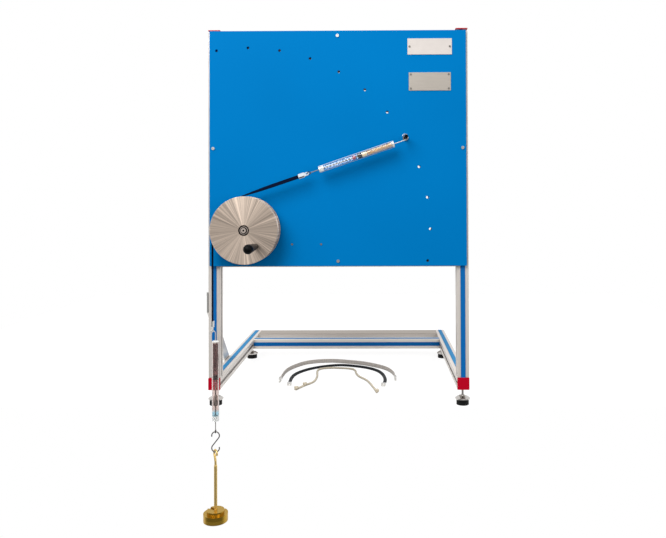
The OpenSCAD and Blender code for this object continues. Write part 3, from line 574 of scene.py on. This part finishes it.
def turned_aluminium(rgb, middle):
    """Face-turned aluminium: tool rings that spread each highlight into rays from the centre, and
    more rays painted into the colour as painted reflection.
    """
    material, tree, shader = new_material(
        "Turned aluminium", Metallic=1.0, Anisotropic=0.45, Anisotropic_Rotation=0.25
    )
    arm = arm_from(tree, middle)
    flat = add(tree, "ShaderNodeVectorMath", {0: arm, 1: (1, 0, 1)}, operation="MULTIPLY")
    aim = add(tree, "ShaderNodeVectorMath", {0: flat.outputs[0]}, operation="NORMALIZE")
    # One ray is about 1/18 of a radian, which is 4.6 mm at the rim
    rays = add(
        tree,
        "ShaderNodeTexNoise",
        {"Vector": aim.outputs[0], "Scale": 18.0, "Detail": 8.0, "Roughness": 0.65},
    ).outputs["Fac"]
    painted_rays = add(
        tree, "ShaderNodeMapRange", {"Value": rays, "From Min": 0.42, "From Max": 0.62}
    ).outputs["Result"]
    # Painted reflection: lighter and darker rays from the centre are painted into the colour
    vary(tree, shader, painted_rays, rgb, 0.24, (0.36, 0.52))
    tangent = add(tree, "ShaderNodeTangent", direction_type="RADIAL", axis="Y")
    tree.links.new(tangent.outputs["Tangent"], shader.inputs["Tangent"])
    return material


def turned_brass(rgb):
    """Lathe-turned brass, lacquered long ago: golden, with darker brown patches."""
    material, tree, shader = new_material("Turned brass", Metallic=1.0, Anisotropic=0.3)
    vary(tree, shader, grain(tree, 22, (1, 1, 2.5), 2.0), rgb, 0.1, (0.2, 0.32))
    return material


def brass_hanger(rgb, stem, height):
    """Brass hanger: a turned base and, above it, a stem painted paler, as a painted highlight."""
    material, tree, shader = new_material("Brass hanger", Metallic=0.85)
    rise = along_from(tree, ORIGIN, UP)
    coat(tree, shader, zones(tree, rise, rgb, (height, stem)), (0.24, 0.36))
    return material


def clear_acrylic(name, rgb, *bounds):
    """Extruded acrylic tube: clear, with bright rims where the eye looks along the wall.

    From the height of each bound on, it has that bound's tint.
    """
    material, tree, shader = new_material(name, IOR=1.49)
    vary(tree, shader, grain(tree, 8), rgb, 0.01, (0.0, 0.05))
    if bounds:
        rise = along_from(tree, ORIGIN, UP)
        tree.links.new(zones(tree, rise, rgb, *bounds), shader.inputs["Base Color"])
    slant = add(tree, "ShaderNodeLayerWeight", {"Blend": 0.5}).outputs["Facing"]
    clear = add(
        tree,
        "ShaderNodeMapRange",
        {"Value": slant, "From Min": 0.4, "From Max": 0.75, "To Min": 1.0, "To Max": 0.05},
    )
    tree.links.new(clear.outputs["Result"], shader.inputs["Transmission Weight"])
    return material


def rubber(name, rgb, roughness, millimetres):
    """Moulded black rubber: dull, with a dusty bloom on its high spots."""
    material, tree, shader = new_material(name, IOR=1.52, Specular_IOR_Level=0.2)
    vary(tree, shader, grain(tree, millimetres), rgb, 0.3, roughness, 0.06)
    return material


def woven_belt(name, rgb, thread, fuzz=0.0):
    """Woven belting: crossing threads, drawn coarse enough to show, with fuzz when it is bare."""
    material, tree, shader = new_material(
        name, IOR=1.5, Specular_IOR_Level=0.08, Sheen_Weight=fuzz
    )
    place = add(tree, "ShaderNodeTexCoord").outputs["Object"]
    # A row of this pattern is a quarter of its unit, so four threads fill one
    weave = add(
        tree,
        "ShaderNodeTexBrick",
        {
            "Vector": place,
            "Scale": 1 / (thread * 4 * MM),
            "Color1": (1, 1, 1, 1),
            "Color2": (0.7, 0.7, 0.7, 1),
            "Mortar": (0.2, 0.2, 0.2, 1),
        },
    ).outputs["Color"]
    vary(tree, shader, weave, rgb, 0.25, (0.6, 0.8), 0.1)
    return material


def cotton_rope(rgb):
    """Laid cotton rope: pale strands with soft fuzz and grey dust in the lays."""
    material, tree, shader = new_material(
        "Cotton rope", IOR=1.5, Sheen_Weight=0.4, Sheen_Roughness=0.6
    )
    vary(tree, shader, grain(tree, 1.2, detail=5.0), rgb, 0.28, (0.8, 0.95), 0.3)
    return material


def plunger_steel(name, foot, pull, rod, carrier, sleeve, split):
    """Drawn rod with the spring's carrier: a ring painted near-black as painted shade, under a
    sleeve of another colour.
    """
    material, tree, shader = new_material(name, Metallic=0.5)
    wide = zones(tree, along_from(tree, foot, pull), carrier, (split, sleeve))
    aside = aside_of(tree, foot, pull)
    edge = add(tree, "ShaderNodeMath", {0: aside, 1: ROD_RADIUS}, operation="GREATER_THAN")
    tone = add(
        tree, "ShaderNodeMix", {0: edge.outputs[0], 6: shade(rod), 7: wide}, data_type="RGBA"
    )
    coat(tree, shader, tone.outputs[2], (0.3, 0.45))
    return material


def ringed_steel(name, point, first, *bounds):
    """Steel turned about a fore-and-aft axis: rings of different polish around the middle; on the
    axle screw the middle is painted shade.
    """
    material, tree, shader = new_material(name, Metallic=0.8)
    aside = aside_of(tree, point, BACK)
    coat(tree, shader, zones(tree, aside, first, *bounds), (0.28, 0.42))
    return material


def capped_stem(rgb, painted_shade, height):
    """Moulded red cap: red plate above the height, and below it the stem painted black as painted
    shade under the plate.
    """
    material, tree, shader = new_material("Polyamide cap on its stem", Specular_IOR_Level=0.3)
    rise = along_from(tree, ORIGIN, UP)
    coat(tree, shader, zones(tree, rise, painted_shade, (height, rgb)), (0.3, 0.45))
    return material


def paint(material, *names):
    """Gives CAD nodes their finish."""
    for name in names:
        mesh = frame["nodes"][name].data
        mesh.materials.clear()
        mesh.materials.append(material)


# Spare belts on the bench, in millimetres from the origin, as in the part's source

FLAT_ROUTE = (
    (-178, -85),
    (-172, 20),
    (-140, 92),
    (-102, 125),
    (-47, 136),
    (10, 122),
    (66, 96),
    (120, 46),
    (143, -10),
    (148, -70),
)
VEE_ROUTE = (
    (-147, -118),
    (-150, -57),
    (-142, -7),
    (-115, 40),
    (-70, 77),
    (-16, 94),
    (39, 78),
    (80, 50),
    (107, 8),
    (119, -56),
    (113, -126),
)
ROPE_ROUTE = (
    (-122, -165),
    (-103, -128),
    (-82, -92),
    (-77, -39),
    (-81, 26),
    (-68, 53),
    (-28, 59),
    (24, 43),
    (36, -9),
    (45, -39),
    (68, -82),
    (84, -141),
    (95, -192),
)
ROPE_KNOTS = (0, 1, len(ROPE_ROUTE) - 1)
ROPE_STRANDS = 3


def on_bench(route, height):
    """A route's points in metres, at a height above the bench."""
    return [Vector((x * MM, y * MM, height)) for x, y in route]


class Maker:
    """What the operators share."""

    bl_options = {"REGISTER", "UNDO"}

    @property
    def colours(self):
        return bpy.context.scene.apparatus_colours

    @property
    def sizes(self):
        return bpy.context.scene.apparatus_sizes

    @property
    def studio(self):
        return bpy.context.scene.apparatus_studio


class APPARATUS_OT_camera(Maker, bpy.types.Operator):
    """Stands the camera in front of the apparatus, a little right of its middle"""

    bl_idname = "apparatus.camera"
    bl_label = "Camera"

    def execute(self, context):
        studio = self.studio
        data = bpy.data.cameras.new("Camera")
        data.sensor_width = SENSOR
        data.lens = studio.lens
        data.shift_x = (IMAGE_WIDTH / 2 - studio.axis_x) / IMAGE_WIDTH
        data.shift_y = (studio.axis_y - IMAGE_HEIGHT / 2) / IMAGE_WIDTH
        data.clip_start = 0.01
        camera = bpy.data.objects.new("Camera", data)
        pitch, roll, yaw = studio.turn
        camera.matrix_world = (
            Matrix.Translation(studio.place)
            @ Matrix.Rotation(yaw, 4, "Z")
            @ Matrix.Rotation(math.pi / 2 + pitch, 4, "X")
            @ Matrix.Rotation(roll, 4, "Z")
        )
        context.collection.objects.link(camera)
        context.scene.camera = camera
        return {"FINISHED"}


class APPARATUS_OT_spare_belts(Maker, bpy.types.Operator):
    """Lays the spare flat belt, V belt and rope on the bench"""

    bl_idname = "apparatus.spare_belts"
    bl_label = "Spare belts"

    def lay(self, piece, path, width, node, slot, far_end, stiffness, with_pieces):
        """Hangs a piece that stands for a CAD node on the stand, and hides that node."""
        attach(piece, "stand")
        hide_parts(node)

    def knot(self, name, place, along, diameter, strand, material):
        """An overhand knot: a trefoil of the rope drawn tight."""
        across = along.cross(UP).normalized()
        reach = (diameter - strand) / 2
        path = []
        for step in range(KNOT_STEPS + 1):
            a = 2 * math.pi * step / KNOT_STEPS
            x = (math.sin(a) + 2 * math.sin(2 * a)) / 3
            y = (math.cos(a) - 2 * math.cos(2 * a)) / 3
            z = -math.sin(3 * a) * 0.8
            path.append(place + reach * (along * z + across * x + UP * y))
        ring = circle(strand / 2, KNOT_SIDES)
        return sweep(name, path, lambda step: ring, along, material)

    def execute(self, context):
        sizes, colours = self.sizes, self.colours
        fittings = plated_steel("Nickel-plated fittings", colours.steel, (0.2, 0.36))
        paint(fittings, "spare_fittings")

        path = curve_through(on_bench(FLAT_ROUTE, sizes.flat_width / 2), SPARE_STEPS)
        band = rounded(sizes.flat_thick, sizes.flat_width, FLAT_EDGE)
        flat = sweep(
            "spare_flat_belt_woven",
            path,
            lambda step: band,
            UP,
            woven_belt("Woven belting", colours.flat_belt, 0.8, 0.25),
        )
        ends = [frame["nodes"]["spare_fittings"]]
        width = sizes.flat_width
        self.lay(flat, path, width, "spare_flat_belt", "grey_belt", "fitting", "medium", ends)

        path = curve_through(on_bench(VEE_ROUTE, sizes.vee_height / 2), SPARE_STEPS)
        wide, narrow, tall = sizes.vee_base / 2, sizes.vee_top / 2, sizes.vee_height / 2
        vee = [
            (-wide, -tall + VEE_EDGE),
            (-wide + VEE_EDGE, -tall),
            (wide - VEE_EDGE, -tall),
            (wide, -tall + VEE_EDGE),
            (narrow, tall - VEE_EDGE),
            (narrow - VEE_EDGE, tall),
            (-narrow + VEE_EDGE, tall),
            (-narrow, tall - VEE_EDGE),
        ]
        belt = sweep(
            "spare_v_belt_rubber",
            path,
            lambda step: vee,
            UP,
            rubber("V belt rubber", colours.vee_belt, (0.5, 0.68), 1.5),
            smooth=False,
        )
        width = sizes.vee_base
        self.lay(belt, path, width, "spare_v_belt", "belt", "fitting", "medium", ends)

        radius = sizes.rope_diameter / 2
        rope_finish = cotton_rope(colours.rope)
        path = curve_through(on_bench(ROPE_ROUTE, radius), ROPE_STEPS)
        run = [0.0]
        for a, b in zip(path, path[1:]):
            run.append(run[-1] + (b - a).length)

        def strands(step):
            """Section of the strands, turned by the rope's lay."""
            twist = 2 * math.pi * run[step] / sizes.rope_lay
            points = []
            for i in range(ROPE_SIDES):
                a = 2 * math.pi * i / ROPE_SIDES
                out = radius * (1 - ROPE_GROOVE + ROPE_GROOVE * math.cos(ROPE_STRANDS * a))
                points.append((out * math.cos(a + twist), out * math.sin(a + twist)))
            return points

        rope = sweep("spare_rope_laid", path, strands, UP, rope_finish)
        route = on_bench(ROPE_ROUTE, sizes.knot_diameter / 2)
        knots = []
        for number, index in enumerate(ROPE_KNOTS):
            along = (route[min(index + 1, len(route) - 1)] - route[max(index - 1, 0)]).normalized()
            knot = self.knot(
                f"spare_rope_knot_{number}",
                route[index],
                along,
                sizes.knot_diameter,
                sizes.rope_diameter * KNOT_STRAND,
                rope_finish,
            )
            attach(knot, "stand")
            knots.append(knot)
        self.lay(rope, path, sizes.rope_diameter, "spare_rope", "rope", "knot", "limp", knots)
        return {"FINISHED"}


class APPARATUS_OT_stand(Maker, bpy.types.Operator):
    """Finishes the profile frame, its covers and caps, the brace and the feet"""

    bl_idname = "apparatus.stand"
    bl_label = "Stand"

    def execute(self, context):
        colours = self.colours
        upright = anodised_aluminium("Anodised upright", colours.profile, (1, 1, 0.02))
        side = anodised_aluminium("Anodised side beam", colours.profile, (1, 0.02, 1))
        cross = anodised_aluminium("Anodised cross beam", colours.profile, (0.02, 1, 1))
        paint(upright, "left_upright", "right_upright")
        paint(side, "left_side_beam", "right_side_beam")
        paint(cross, "rear_cross_beam", "top_cross_beam", "bottom_cross_beam")
        top = high_corner("rear_bar").z - BAR_TOP
        # Painted shade: the bar's top is painted darker and browner than its front
        paint(drawn_bar(colours.bar, colours.profile, top), "rear_bar")
        paint(cover_strip(colours.cover, colours.painted_top_light), "slot_covers")
        caps = moulded_plastic("Polyamide end cap", colours.cap, (0.35, 0.5), gloss=0.1)
        paint(caps, "side_beam_caps")
        plate = high_corner("panel").z + CAP_PLATE
        # Painted shade: each cap's stem, under its plate, is painted black
        paint(capped_stem(colours.cap, colours.grip, plate), "upright_caps")
        zinc = plated_steel("Zinc-plated steel", colours.steel, (0.28, 0.42))
        paint(zinc, "left_brace", "brace_screws")
        feet = ("front_left", "front_right", "rear_left", "rear_right")
        chrome = plated_steel("Chromed foot", colours.chrome, (0.1, 0.22))
        paint(chrome, *(f"{foot}_foot" for foot in feet))
        pads = rubber("Rubber pad", colours.rubber, (0.55, 0.75), 2.0)
        paint(pads, *(f"{foot}_pad" for foot in feet))
        return {"FINISHED"}


class APPARATUS_OT_panel(Maker, bpy.types.Operator):
    """Finishes the panel, its two bare plates, the screws and the peg"""

    bl_idname = "apparatus.panel"
    bl_label = "Panel"

    def execute(self, context):
        colours = self.colours
        paint(coated_board(colours.panel), "panel")
        paint(moulded_plastic("White enamel plate", colours.white, (0.2, 0.3), 20), "white_plate")
        paint(brushed_plate(colours.silver), "silver_plate")
        paint(plated_steel("Plate screws", colours.screw, (0.35, 0.5)), "small_screws")
        paint(plated_steel("Panel screws", colours.chrome, (0.3, 0.45)), "panel_screws")
        paint(moulded_plastic("Nylon bush", colours.bush, (0.4, 0.55), gloss=0.05), "peg_bushes")
        rim = (PEG_HOLLOW, colours.screw)
        paint(ringed_steel("Peg steel", centre("anchor_peg"), colours.grip, rim), "anchor_peg")
        return {"FINISHED"}


class APPARATUS_OT_pulley(Maker, bpy.types.Operator):
    """Finishes the pulley, its bearing and axle, and the crank"""

    bl_idname = "apparatus.pulley"
    bl_label = "Pulley"

    def execute(self, context):
        colours = self.colours
        paint(turned_aluminium(colours.pulley, PULLEY), "pulley")
        outer = centre("bearings").x - low_corner("bearings").x
        rings = ringed_steel(
            "Bearing steel",
            PULLEY,
            colours.dark_steel,
            (outer * RACE_IN, colours.race),
            (outer * RACE_OUT, colours.dark_steel),
        )
        paint(rings, "bearings")
        steel = plated_steel("Ground steel", colours.steel, (0.22, 0.36))
        paint(steel, "axle", "axle_spacer", "crank_spindle")
        # Painted shade: the middle of the screw head, inside its hex socket, is painted black
        screw = ringed_steel("Axle screw", PULLEY, colours.grip, (AXLE_SOCKET_SHADE, colours.race))
        paint(screw, "axle_fasteners")
        grip = moulded_plastic("Phenolic grip", colours.grip, (0.4, 0.5), 6, gloss=0.1)
        paint(grip, "crank_grip")
        return {"FINISHED"}


class APPARATUS_OT_belt(Maker, bpy.types.Operator):
    """Lays the belt over the pulley and down to its two clips"""

    bl_idname = "apparatus.belt"
    bl_label = "Belt"

    def execute(self, context):
        finish = woven_belt("Rubberised belt", self.colours.belt, 0.7)
        thick = BELT_OUT - BELT_IN
        band = rounded(thick, 2 * BELT_HALF, BELT_EDGE)
        axis = Vector((PULLEY.x, BELT_Y, PULLEY.z))

        start = math.atan2(OVER.z, OVER.x)
        steps = BELT_STEPS
        path = []
        for step in range(steps + 1):
            a = start + (math.pi - start) * step / steps
            path.append(axis + BELT_MID * Vector((math.cos(a), 0, math.sin(a))))
        wrap = sweep("belt_on_pulley", path, lambda step: band, BACK, finish)
        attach(wrap, "stand")
        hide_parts("belt_wrap")

        twist = self.sizes.belt_twist
        rise = BELT_HALF * math.sin(twist) + thick / 2 * math.cos(twist)
        reach = (high_corner("belt_upper_run").x - rise * PULL.z - TANGENT.x) / PULL.x
        far = TANGENT + PULL * reach
        turning = reach - self.sizes.clip_grip
        path = [TANGENT + PULL * turning * step / steps for step in range(steps + 1)] + [far]

        def twisted(step):
            """Section of the belt, which turns soon after the pulley and then keeps its turn."""
            left = 1 - min(step / steps, 1)
            a = twist * (1 - left**5 * (6 - 5 * left))
            return [
                (x * math.cos(a) + y * math.sin(a), y * math.cos(a) - x * math.sin(a))
                for x, y in band
            ]

        upper = sweep("belt_to_balance", path, twisted, BACK, finish)
        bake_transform(upper)
        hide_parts("belt_upper_run")

        top = axis - Vector((BELT_MID, 0, 0))
        end = Vector((top.x, top.y, low_corner("belt_lower_run").z))
        path = [top.lerp(end, step / steps) for step in range(steps + 1)]
        lower = sweep("belt_hanging", path, lambda step: band, BACK, finish)
        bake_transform(lower)
        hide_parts("belt_lower_run")
        clips = plated_steel("Nickel-plated clip", self.colours.nylon, (0.3, 0.42), 0.4)
        paint(clips, "upper_clip", "lower_clip")
        return {"FINISHED"}


class APPARATUS_OT_balances(Maker, bpy.types.Operator):
    """Makes the springs and scales of the two balances and finishes their pieces"""

    bl_idname = "apparatus.balances"
    bl_label = "Balances"

    def spring(self, name, node, start, end, material, bodies):
        """A close coil from start, at the end that stays, to end, at the plunger."""
        sizes = self.sizes
        pull = (end - start).normalized()
        aside = pull.cross(BACK).normalized()
        steps = sizes.spring_curls * CURL_STEPS
        wire = sizes.spring_wire
        begin = start + pull * wire / 2
        travel = (end - start).length - wire
        path = []
        for step in range(steps + 1):
            a = 2 * math.pi * sizes.spring_curls * step / steps
            path.append(
                begin
                + pull * travel * step / steps
                + sizes.spring_radius * (math.cos(a) * BACK + math.sin(a) * aside)
            )
        ring = circle(wire / 2, WIRE_SIDES)
        coil = sweep(name, path, lambda step: ring, pull, material)
        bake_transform(coil)
        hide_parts(node)
        return coil

    def scale(self, name, foot, pull, radius, turn, material, body):
        """Pale marks printed along the tube, turned from its front by an angle."""
        sizes = self.sizes
        aside = pull.cross(BACK).normalized()
        half = sizes.scale_mark / 2
        skin = radius + MARK_LIFT
        points, faces = [], []
        for mark in range(sizes.scale_marks):
            place = foot + pull * (sizes.scale_start + mark * sizes.scale_step)
            first = len(points)
            for step in range(MARK_ARCS + 1):
                a = turn + MARK_SPREAD * (2 * step / MARK_ARCS - 1)
                out = skin * (-math.cos(a) * BACK + math.sin(a) * aside)
                points += [place + out - pull * half, place + out + pull * half]
            for step in range(MARK_ARCS):
                i = first + 2 * step
                faces.append((i, i + 1, i + 3, i + 2))
        marks = new_mesh(name, points, faces, material)
        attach(marks, body)

    def execute(self, context):
        colours = self.colours
        paint(clear_acrylic("Clear acrylic", colours.clear), "upper_tube")
        end = low_corner("lower_tube").z
        band = (end + self.sizes.cool_start, colours.cool)
        above = (end + self.sizes.cool_end, colours.tint)
        paint(clear_acrylic("Tinted acrylic", colours.clear, band, above), "lower_tube")
        nylon = moulded_plastic("Nylon cap", colours.nylon, (0.3, 0.45))
        paint(nylon, "upper_tube_caps", "lower_tube_caps")
        wire = plated_steel("Hook wire", colours.steel, (0.25, 0.4), 0.7)
        paint(wire, "upper_hook", "lower_hook")
        red = moulded_plastic("Red pointer", colours.pointer, (0.3, 0.45))
        paint(red, "upper_pointer", "lower_pointer")
        ink = moulded_plastic("Scale ink", colours.ink, (0.4, 0.55))

        radius = (high_corner("lower_tube").x - low_corner("lower_tube").x) / 2
        length = high_corner("lower_tube").z - low_corner("lower_tube").z
        upper_foot = centre("upper_tube") - PULL * length / 2
        lower_foot = CHAIN + UP * low_corner("lower_tube").z
        # Painted shade: the carrier's ring below each sleeve is painted near-black
        painted_shade = colours.dark_steel
        stay = length - self.sizes.plug
        lower_end = low_corner("lower_spring").z - lower_foot.z
        foot = low_corner("lower_pointer").z - lower_foot.z
        split = foot + CARRIER_FOOT + self.sizes.carrier_dark
        rod, pale, brown = colours.screw, colours.sleeve, colours.spring_dark
        upper_rod = plunger_steel(
            "Plunger with pale sleeve", upper_foot, PULL, rod, painted_shade, pale, split
        )
        paint(upper_rod, "upper_rod")
        lower_rod = plunger_steel(
            "Plunger with brown sleeve", lower_foot, UP, rod, painted_shade, brown, split
        )
        paint(lower_rod, "lower_rod")

        light = plated_steel("Coppered spring wire", colours.spring_light, (0.35, 0.5), 0.3)
        upper = self.spring(
            "upper_spring_coil",
            "upper_spring",
            upper_foot + PULL * stay,
            upper_foot + PULL * lower_end,
            light,
            ("stand", "upper_plunger"),
        )
        aged = plated_steel("Aged spring wire", colours.spring_dark, (0.4, 0.55), 0.3)
        lower = self.spring(
            "lower_spring_coil",
            "lower_spring",
            lower_foot + UP * stay,
            lower_foot + UP * lower_end,
            aged,
            ("lower_balance", "lower_plunger"),
        )
        self.scale("upper_scale", upper_foot, PULL, radius, 0.0, ink, "stand")
        turn = LOWER_SCALE_TURN
        self.scale("lower_scale", lower_foot, UP, radius, turn, ink, "lower_balance")
        return {"FINISHED"}


class APPARATUS_OT_weights(Maker, bpy.types.Operator):
    """Finishes the S-hook, the hanger and the slotted weights"""

    bl_idname = "apparatus.weights"
    bl_label = "Weights"

    def execute(self, context):
        colours = self.colours
        paint(plated_steel("S-hook wire", colours.hook, (0.25, 0.4)), "s_hook")
        paint(turned_brass(colours.brass), "large_weight", "small_weight")
        base = low_corner("large_weight").z + HANGER_BASE
        # Painted highlight: the stem above the base is painted paler than the brass
        paint(brass_hanger(colours.brass, colours.stem, base), "weight_hanger")
        return {"FINISHED"}


class APPARATUS_OT_studio(Maker, bpy.types.Operator):
    """Sets the bench top, the white room and the lamps"""

    bl_idname = "apparatus.studio"
    bl_label = "Studio"

    def seen_by(self, tree, *kinds):
        """1 for rays of any of these kinds, and 0 for all others."""
        rays = add(tree, "ShaderNodeLightPath").outputs
        found = rays[kinds[0]]
        for kind in kinds[1:]:
            found = add(
                tree, "ShaderNodeMath", {0: found, 1: rays[kind]}, operation="MAXIMUM"
            ).outputs[0]
        return found

    def lamp(self, name, place, aim, power, width):
        """A round soft lamp that looks at a point."""
        data = bpy.data.lights.new(name, "AREA")
        data.shape = "DISK"
        data.size = width
        data.energy = power
        lamp = bpy.data.objects.new(name, data)
        lamp.location = place
        lamp.rotation_euler = (Vector(aim) - Vector(place)).to_track_quat("-Z", "Y").to_euler()
        bpy.context.collection.objects.link(lamp)

    def white_room(self, scene):
        """White where it is seen, and otherwise lit from above more than from below."""
        studio = self.studio
        world = bpy.data.worlds.new("White room")
        scene.world = world
        world.use_nodes = True
        tree = world.node_tree
        look = add(tree, "ShaderNodeTexCoord").outputs["Generated"]
        heading = add(tree, "ShaderNodeSeparateXYZ", {"Vector": look}).outputs
        room = add(
            tree,
            "ShaderNodeMapRange",
            {
                "Value": heading["Z"],
                "From Min": -0.4,
                "From Max": 0.8,
                "To Min": studio.ground,
                "To Max": studio.sky,
            },
        )
        behind = add(
            tree,
            "ShaderNodeMapRange",
            {"Value": heading["Y"], "From Min": -0.2, "From Max": 0.3},
        )
        mirrored = add(
            tree,
            "ShaderNodeMath",
            {0: self.seen_by(tree, "Is Glossy Ray"), 1: behind.outputs["Result"]},
            operation="MULTIPLY",
        )
        direct = self.seen_by(tree, "Is Camera Ray", "Is Transmission Ray")
        white = add(
            tree, "ShaderNodeMath", {0: direct, 1: mirrored.outputs[0]}, operation="MAXIMUM"
        )
        strength = add(
            tree,
            "ShaderNodeMapRange",
            {"Value": white.outputs[0], "To Min": room.outputs["Result"], "To Max": 1.0},
        )
        background = tree.nodes["Background"]
        background.inputs["Color"].default_value = shade(studio.paper)
        tree.links.new(strength.outputs["Result"], background.inputs["Strength"])

    def bench_top(self):
        """A white top that ends just before the front feet, so that the chain hangs free of it."""
        paper = self.studio.paper
        edge = low_corner("front_left_foot").y - BENCH_MARGIN
        corners = [
            (-BENCH_SIDE, edge, 0),
            (BENCH_SIDE, edge, 0),
            (BENCH_SIDE, BENCH_BACK, 0),
            (-BENCH_SIDE, BENCH_BACK, 0),
        ]
        material = bpy.data.materials.new("White bench top")
        material.use_nodes = True
        tree = material.node_tree
        tree.nodes.remove(tree.nodes["Principled BSDF"])
        lit = add(tree, "ShaderNodeBsdfDiffuse", {"Color": shade(paper, BENCH_TONE)})
        seen = self.seen_by(tree, "Is Camera Ray", "Is Glossy Ray", "Is Transmission Ray")
        glow = add(
            tree, "ShaderNodeMapRange", {"Value": seen, "To Min": 0.0, "To Max": BENCH_GLOW}
        )
        shown = add(
            tree,
            "ShaderNodeEmission",
            {"Color": shade(paper), "Strength": glow.outputs["Result"]},
        )
        both = add(
            tree, "ShaderNodeAddShader", {0: lit.outputs["BSDF"], 1: shown.outputs["Emission"]}
        )
        tree.links.new(
            both.outputs["Shader"], tree.nodes["Material Output"].inputs["Surface"]
        )
        bench = new_mesh("bench_top", corners, [(0, 1, 2, 3)], material, smooth=False)

    def execute(self, context):
        self.white_room(context.scene)
        self.bench_top()
        middle = centre("panel")
        self.lamp("Key", KEY_PLACE, middle, self.studio.key, KEY_WIDTH)
        self.lamp("Fill", FILL_PLACE, middle, self.studio.fill, FILL_WIDTH)
        context.scene.view_settings.view_transform = "Standard"
        return {"FINISHED"}


MAKERS = (
    APPARATUS_OT_camera,
    APPARATUS_OT_spare_belts,
    APPARATUS_OT_stand,
    APPARATUS_OT_panel,
    APPARATUS_OT_pulley,
    APPARATUS_OT_belt,
    APPARATUS_OT_balances,
    APPARATUS_OT_weights,
    APPARATUS_OT_studio,
)


class APPARATUS_PT_sidebar(bpy.types.Panel):
    """Lists the makers and their settings"""

    bl_idname = "APPARATUS_PT_sidebar"
    bl_label = "Belt friction apparatus"
    bl_space_type = "VIEW_3D"
    bl_region_type = "UI"
    bl_category = "Belt friction"

    def draw(self, context):
        for maker in MAKERS:
            self.layout.operator(maker.bl_idname)
        for group in ("apparatus_colours", "apparatus_sizes", "apparatus_studio"):
            settings = getattr(context.scene, group)
            box = self.layout.box()
            for name in settings.__annotations__:
                box.prop(settings, name)


CLASSES = (ApparatusColours, ApparatusSizes, StudioSettings, *MAKERS, APPARATUS_PT_sidebar)


def register():
    for item in CLASSES:
        bpy.utils.register_class(item)
    bpy.types.Scene.apparatus_colours = PointerProperty(type=ApparatusColours)
    bpy.types.Scene.apparatus_sizes = PointerProperty(type=ApparatusSizes)
    bpy.types.Scene.apparatus_studio = PointerProperty(type=StudioSettings)


def unregister():
    del bpy.types.Scene.apparatus_studio
    del bpy.types.Scene.apparatus_sizes
    del bpy.types.Scene.apparatus_colours
    for item in reversed(CLASSES):
        bpy.utils.unregister_class(item)


def main():
    register()
    bpy.ops.apparatus.camera()
    bpy.ops.apparatus.spare_belts()
    bpy.ops.apparatus.stand()
    bpy.ops.apparatus.panel()
    bpy.ops.apparatus.pulley()
    bpy.ops.apparatus.belt()
    bpy.ops.apparatus.balances()
    bpy.ops.apparatus.weights()
    bpy.ops.apparatus.studio()


if __name__ == "__main__":
    main()
